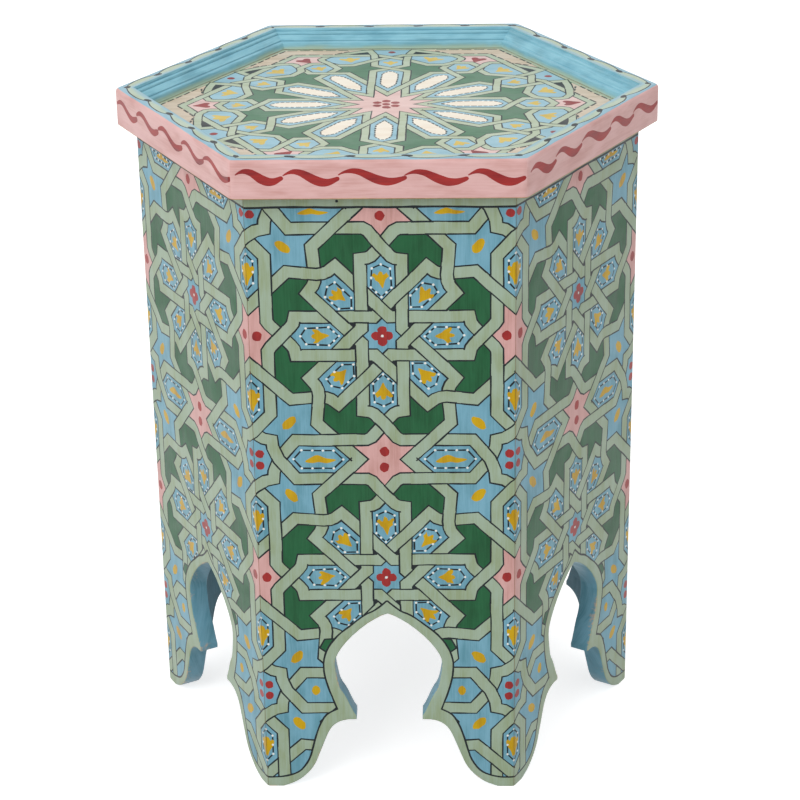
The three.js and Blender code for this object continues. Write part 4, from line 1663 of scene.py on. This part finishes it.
def paint_tray():
    painting = Painting(41)
    painting.wander = TRAY_WANDER
    dice = painting.dice
    reach = TRAY_RADIUS * 1.3
    ground = [(-reach, -reach), (reach, -reach), (reach, reach), (-reach, reach)]
    painting.fill("ground", "leaf", ground, steady=True)
    paint_petals(painting)
    for k in range(6):
        turn = k * SECTOR
        for mirrored in (False, True):
            paint_margins(painting, turn, mirrored)
        painting.fill("cells", "blue", on_tray(GATE_SHARES, turn))
        painting.dab("marks", "red", on_tray([(0, GATE_DAB_SHARE)], turn)[0], GATE_DAB)
        corner = turn + math.pi / 6
        painting.fill("cells", "pink", on_tray(PINK_POINT_SHARES, corner))
        heart = curved([(x * TRAY_RADIUS, y * TRAY_RADIUS) for x, y in HEART_SHARES], closed=True, pieces=3)
        spot = on_tray([(0, HEART_SHARE)], corner)[0]
        lean = math.pi * (k in OUTWARD_HEARTS) + dice.uniform(-0.25, 0.25)
        painting.lay("marks", "red", moved(heart, spot, corner + lean))
        painting.fill("cells_top", "sage", on_tray(BAND_SHARES, turn))
        painting.stroke("cells_top", "ink", on_tray(BAND_LINE_SHARES, turn), BAND_LINE_HALF_WIDTH)
        painting.dab("marks", "red", on_tray([(0, STAR_TIP_DAB_SHARE)], turn)[0], STAR_TIP_DAB)
    painting.dab("marks", "red", (0, 0), MIDDLE_DAB)
    lay_tray_weave(painting)
    return painting


def make_tray():
    painting = paint_tray()
    corner = (REBATE - TRAY_CLEARANCE) / math.cos(SECTOR / 2)
    hexagon = [(corner * math.cos(k * SECTOR), corner * math.sin(k * SECTOR)) for k in range(SIDES)]
    outline = walked(hexagon, closed=True, step=TRAY_EDGE_STEP)
    order = ["ground", "cells", "cells_top"] + LAYERS[2:]
    flat, triangles, paints = partition(painting, order, outline, "leaf", spacing=TRAY_SPACING)
    vertices = [Vector((x, y, TRAY)) for x, y in flat]
    strokes = [(y, x) for x, y in flat]
    loop = open_rings(triangles)[0]
    under = list(range(len(flat), len(flat) + len(loop)))
    for i in loop:
        x, y = flat[i]
        vertices.append(Vector((x, y, BOARD_UNDER)))
        strokes.append((y + (TRAY - BOARD_UNDER), x))
    middle = len(vertices)
    vertices.append(Vector((0, 0, BOARD_UNDER)))
    strokes.append((0, 0))
    faces = triangles + joined(loop, under)
    faces += [(after, k, middle) for k, after in zip(under, under[1:] + under[:1])]
    paints = [TRAY_LIT_POTS.get(paint, paint) for paint in paints] + ["wood"] * (2 * len(loop))
    piece = make_piece("painted_tray", vertices, faces, paints, strokes)
    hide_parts("top_board")
    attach(piece, "root")


make_tray()


# Floor and light
FLOOR_COLOUR = (0.64, 0.64, 0.64, 1.0)
FLOOR_GLOW = 0.74
FILL_LIGHT = 0.84
SOFT_BOX_PLACE = (-1.3, -2.2, 2.3)
SOFT_BOX_AIM = (0, 0, 0.25)
SOFT_BOX_SIZE = 1.8
SOFT_BOX_WATTS = 42


def seen_rays(tree):
    """1 for the camera, reflections and looks through glass, and 0 for the light that it gives off."""
    path = node(tree, "ShaderNodeLightPath")
    either = math_node(tree, "MAXIMUM", path.outputs["Is Camera Ray"], path.outputs["Is Glossy Ray"])
    return math_node(tree, "MAXIMUM", either, path.outputs["Is Transmission Ray"])


def make_stage():
    """A plain floor that looks white, and still takes the stool's shadow."""
    bpy.ops.mesh.primitive_plane_add(size=16)
    floor = bpy.context.object
    floor.name = "floor"
    finish, tree, shader = new_finish("pale floor")
    shader["Base Color"].default_value = FLOOR_COLOUR
    shader["Roughness"].default_value = 0.9
    shader["Specular IOR Level"].default_value = 0.0
    shader["Emission Color"].default_value = (1, 1, 1, 1)
    wire(tree, shader["Emission Strength"], math_node(tree, "MULTIPLY", seen_rays(tree), FLOOR_GLOW))
    floor.data.materials.append(finish)


def make_light():
    world = bpy.data.worlds.new("room")
    bpy.context.scene.world = world
    world.use_nodes = True
    tree = world.node_tree
    background = tree.nodes["Background"]
    background.inputs["Color"].default_value = (1, 1, 1, 1)
    wire(tree, background.inputs["Strength"], ramp(tree, seen_rays(tree), 0.0, 1.0, FILL_LIGHT, 1.0))
    bpy.ops.object.light_add(type="AREA", location=SOFT_BOX_PLACE)
    lamp = bpy.context.object
    lamp.name = "soft box"
    lamp.data.size = SOFT_BOX_SIZE
    lamp.data.energy = SOFT_BOX_WATTS
    aim = Vector(SOFT_BOX_AIM) - lamp.location
    lamp.rotation_euler = aim.to_track_quat("-Z", "Y").to_euler()


place_camera()
make_stage()
make_light()
bpy.context.scene.view_settings.view_transform = "Standard"
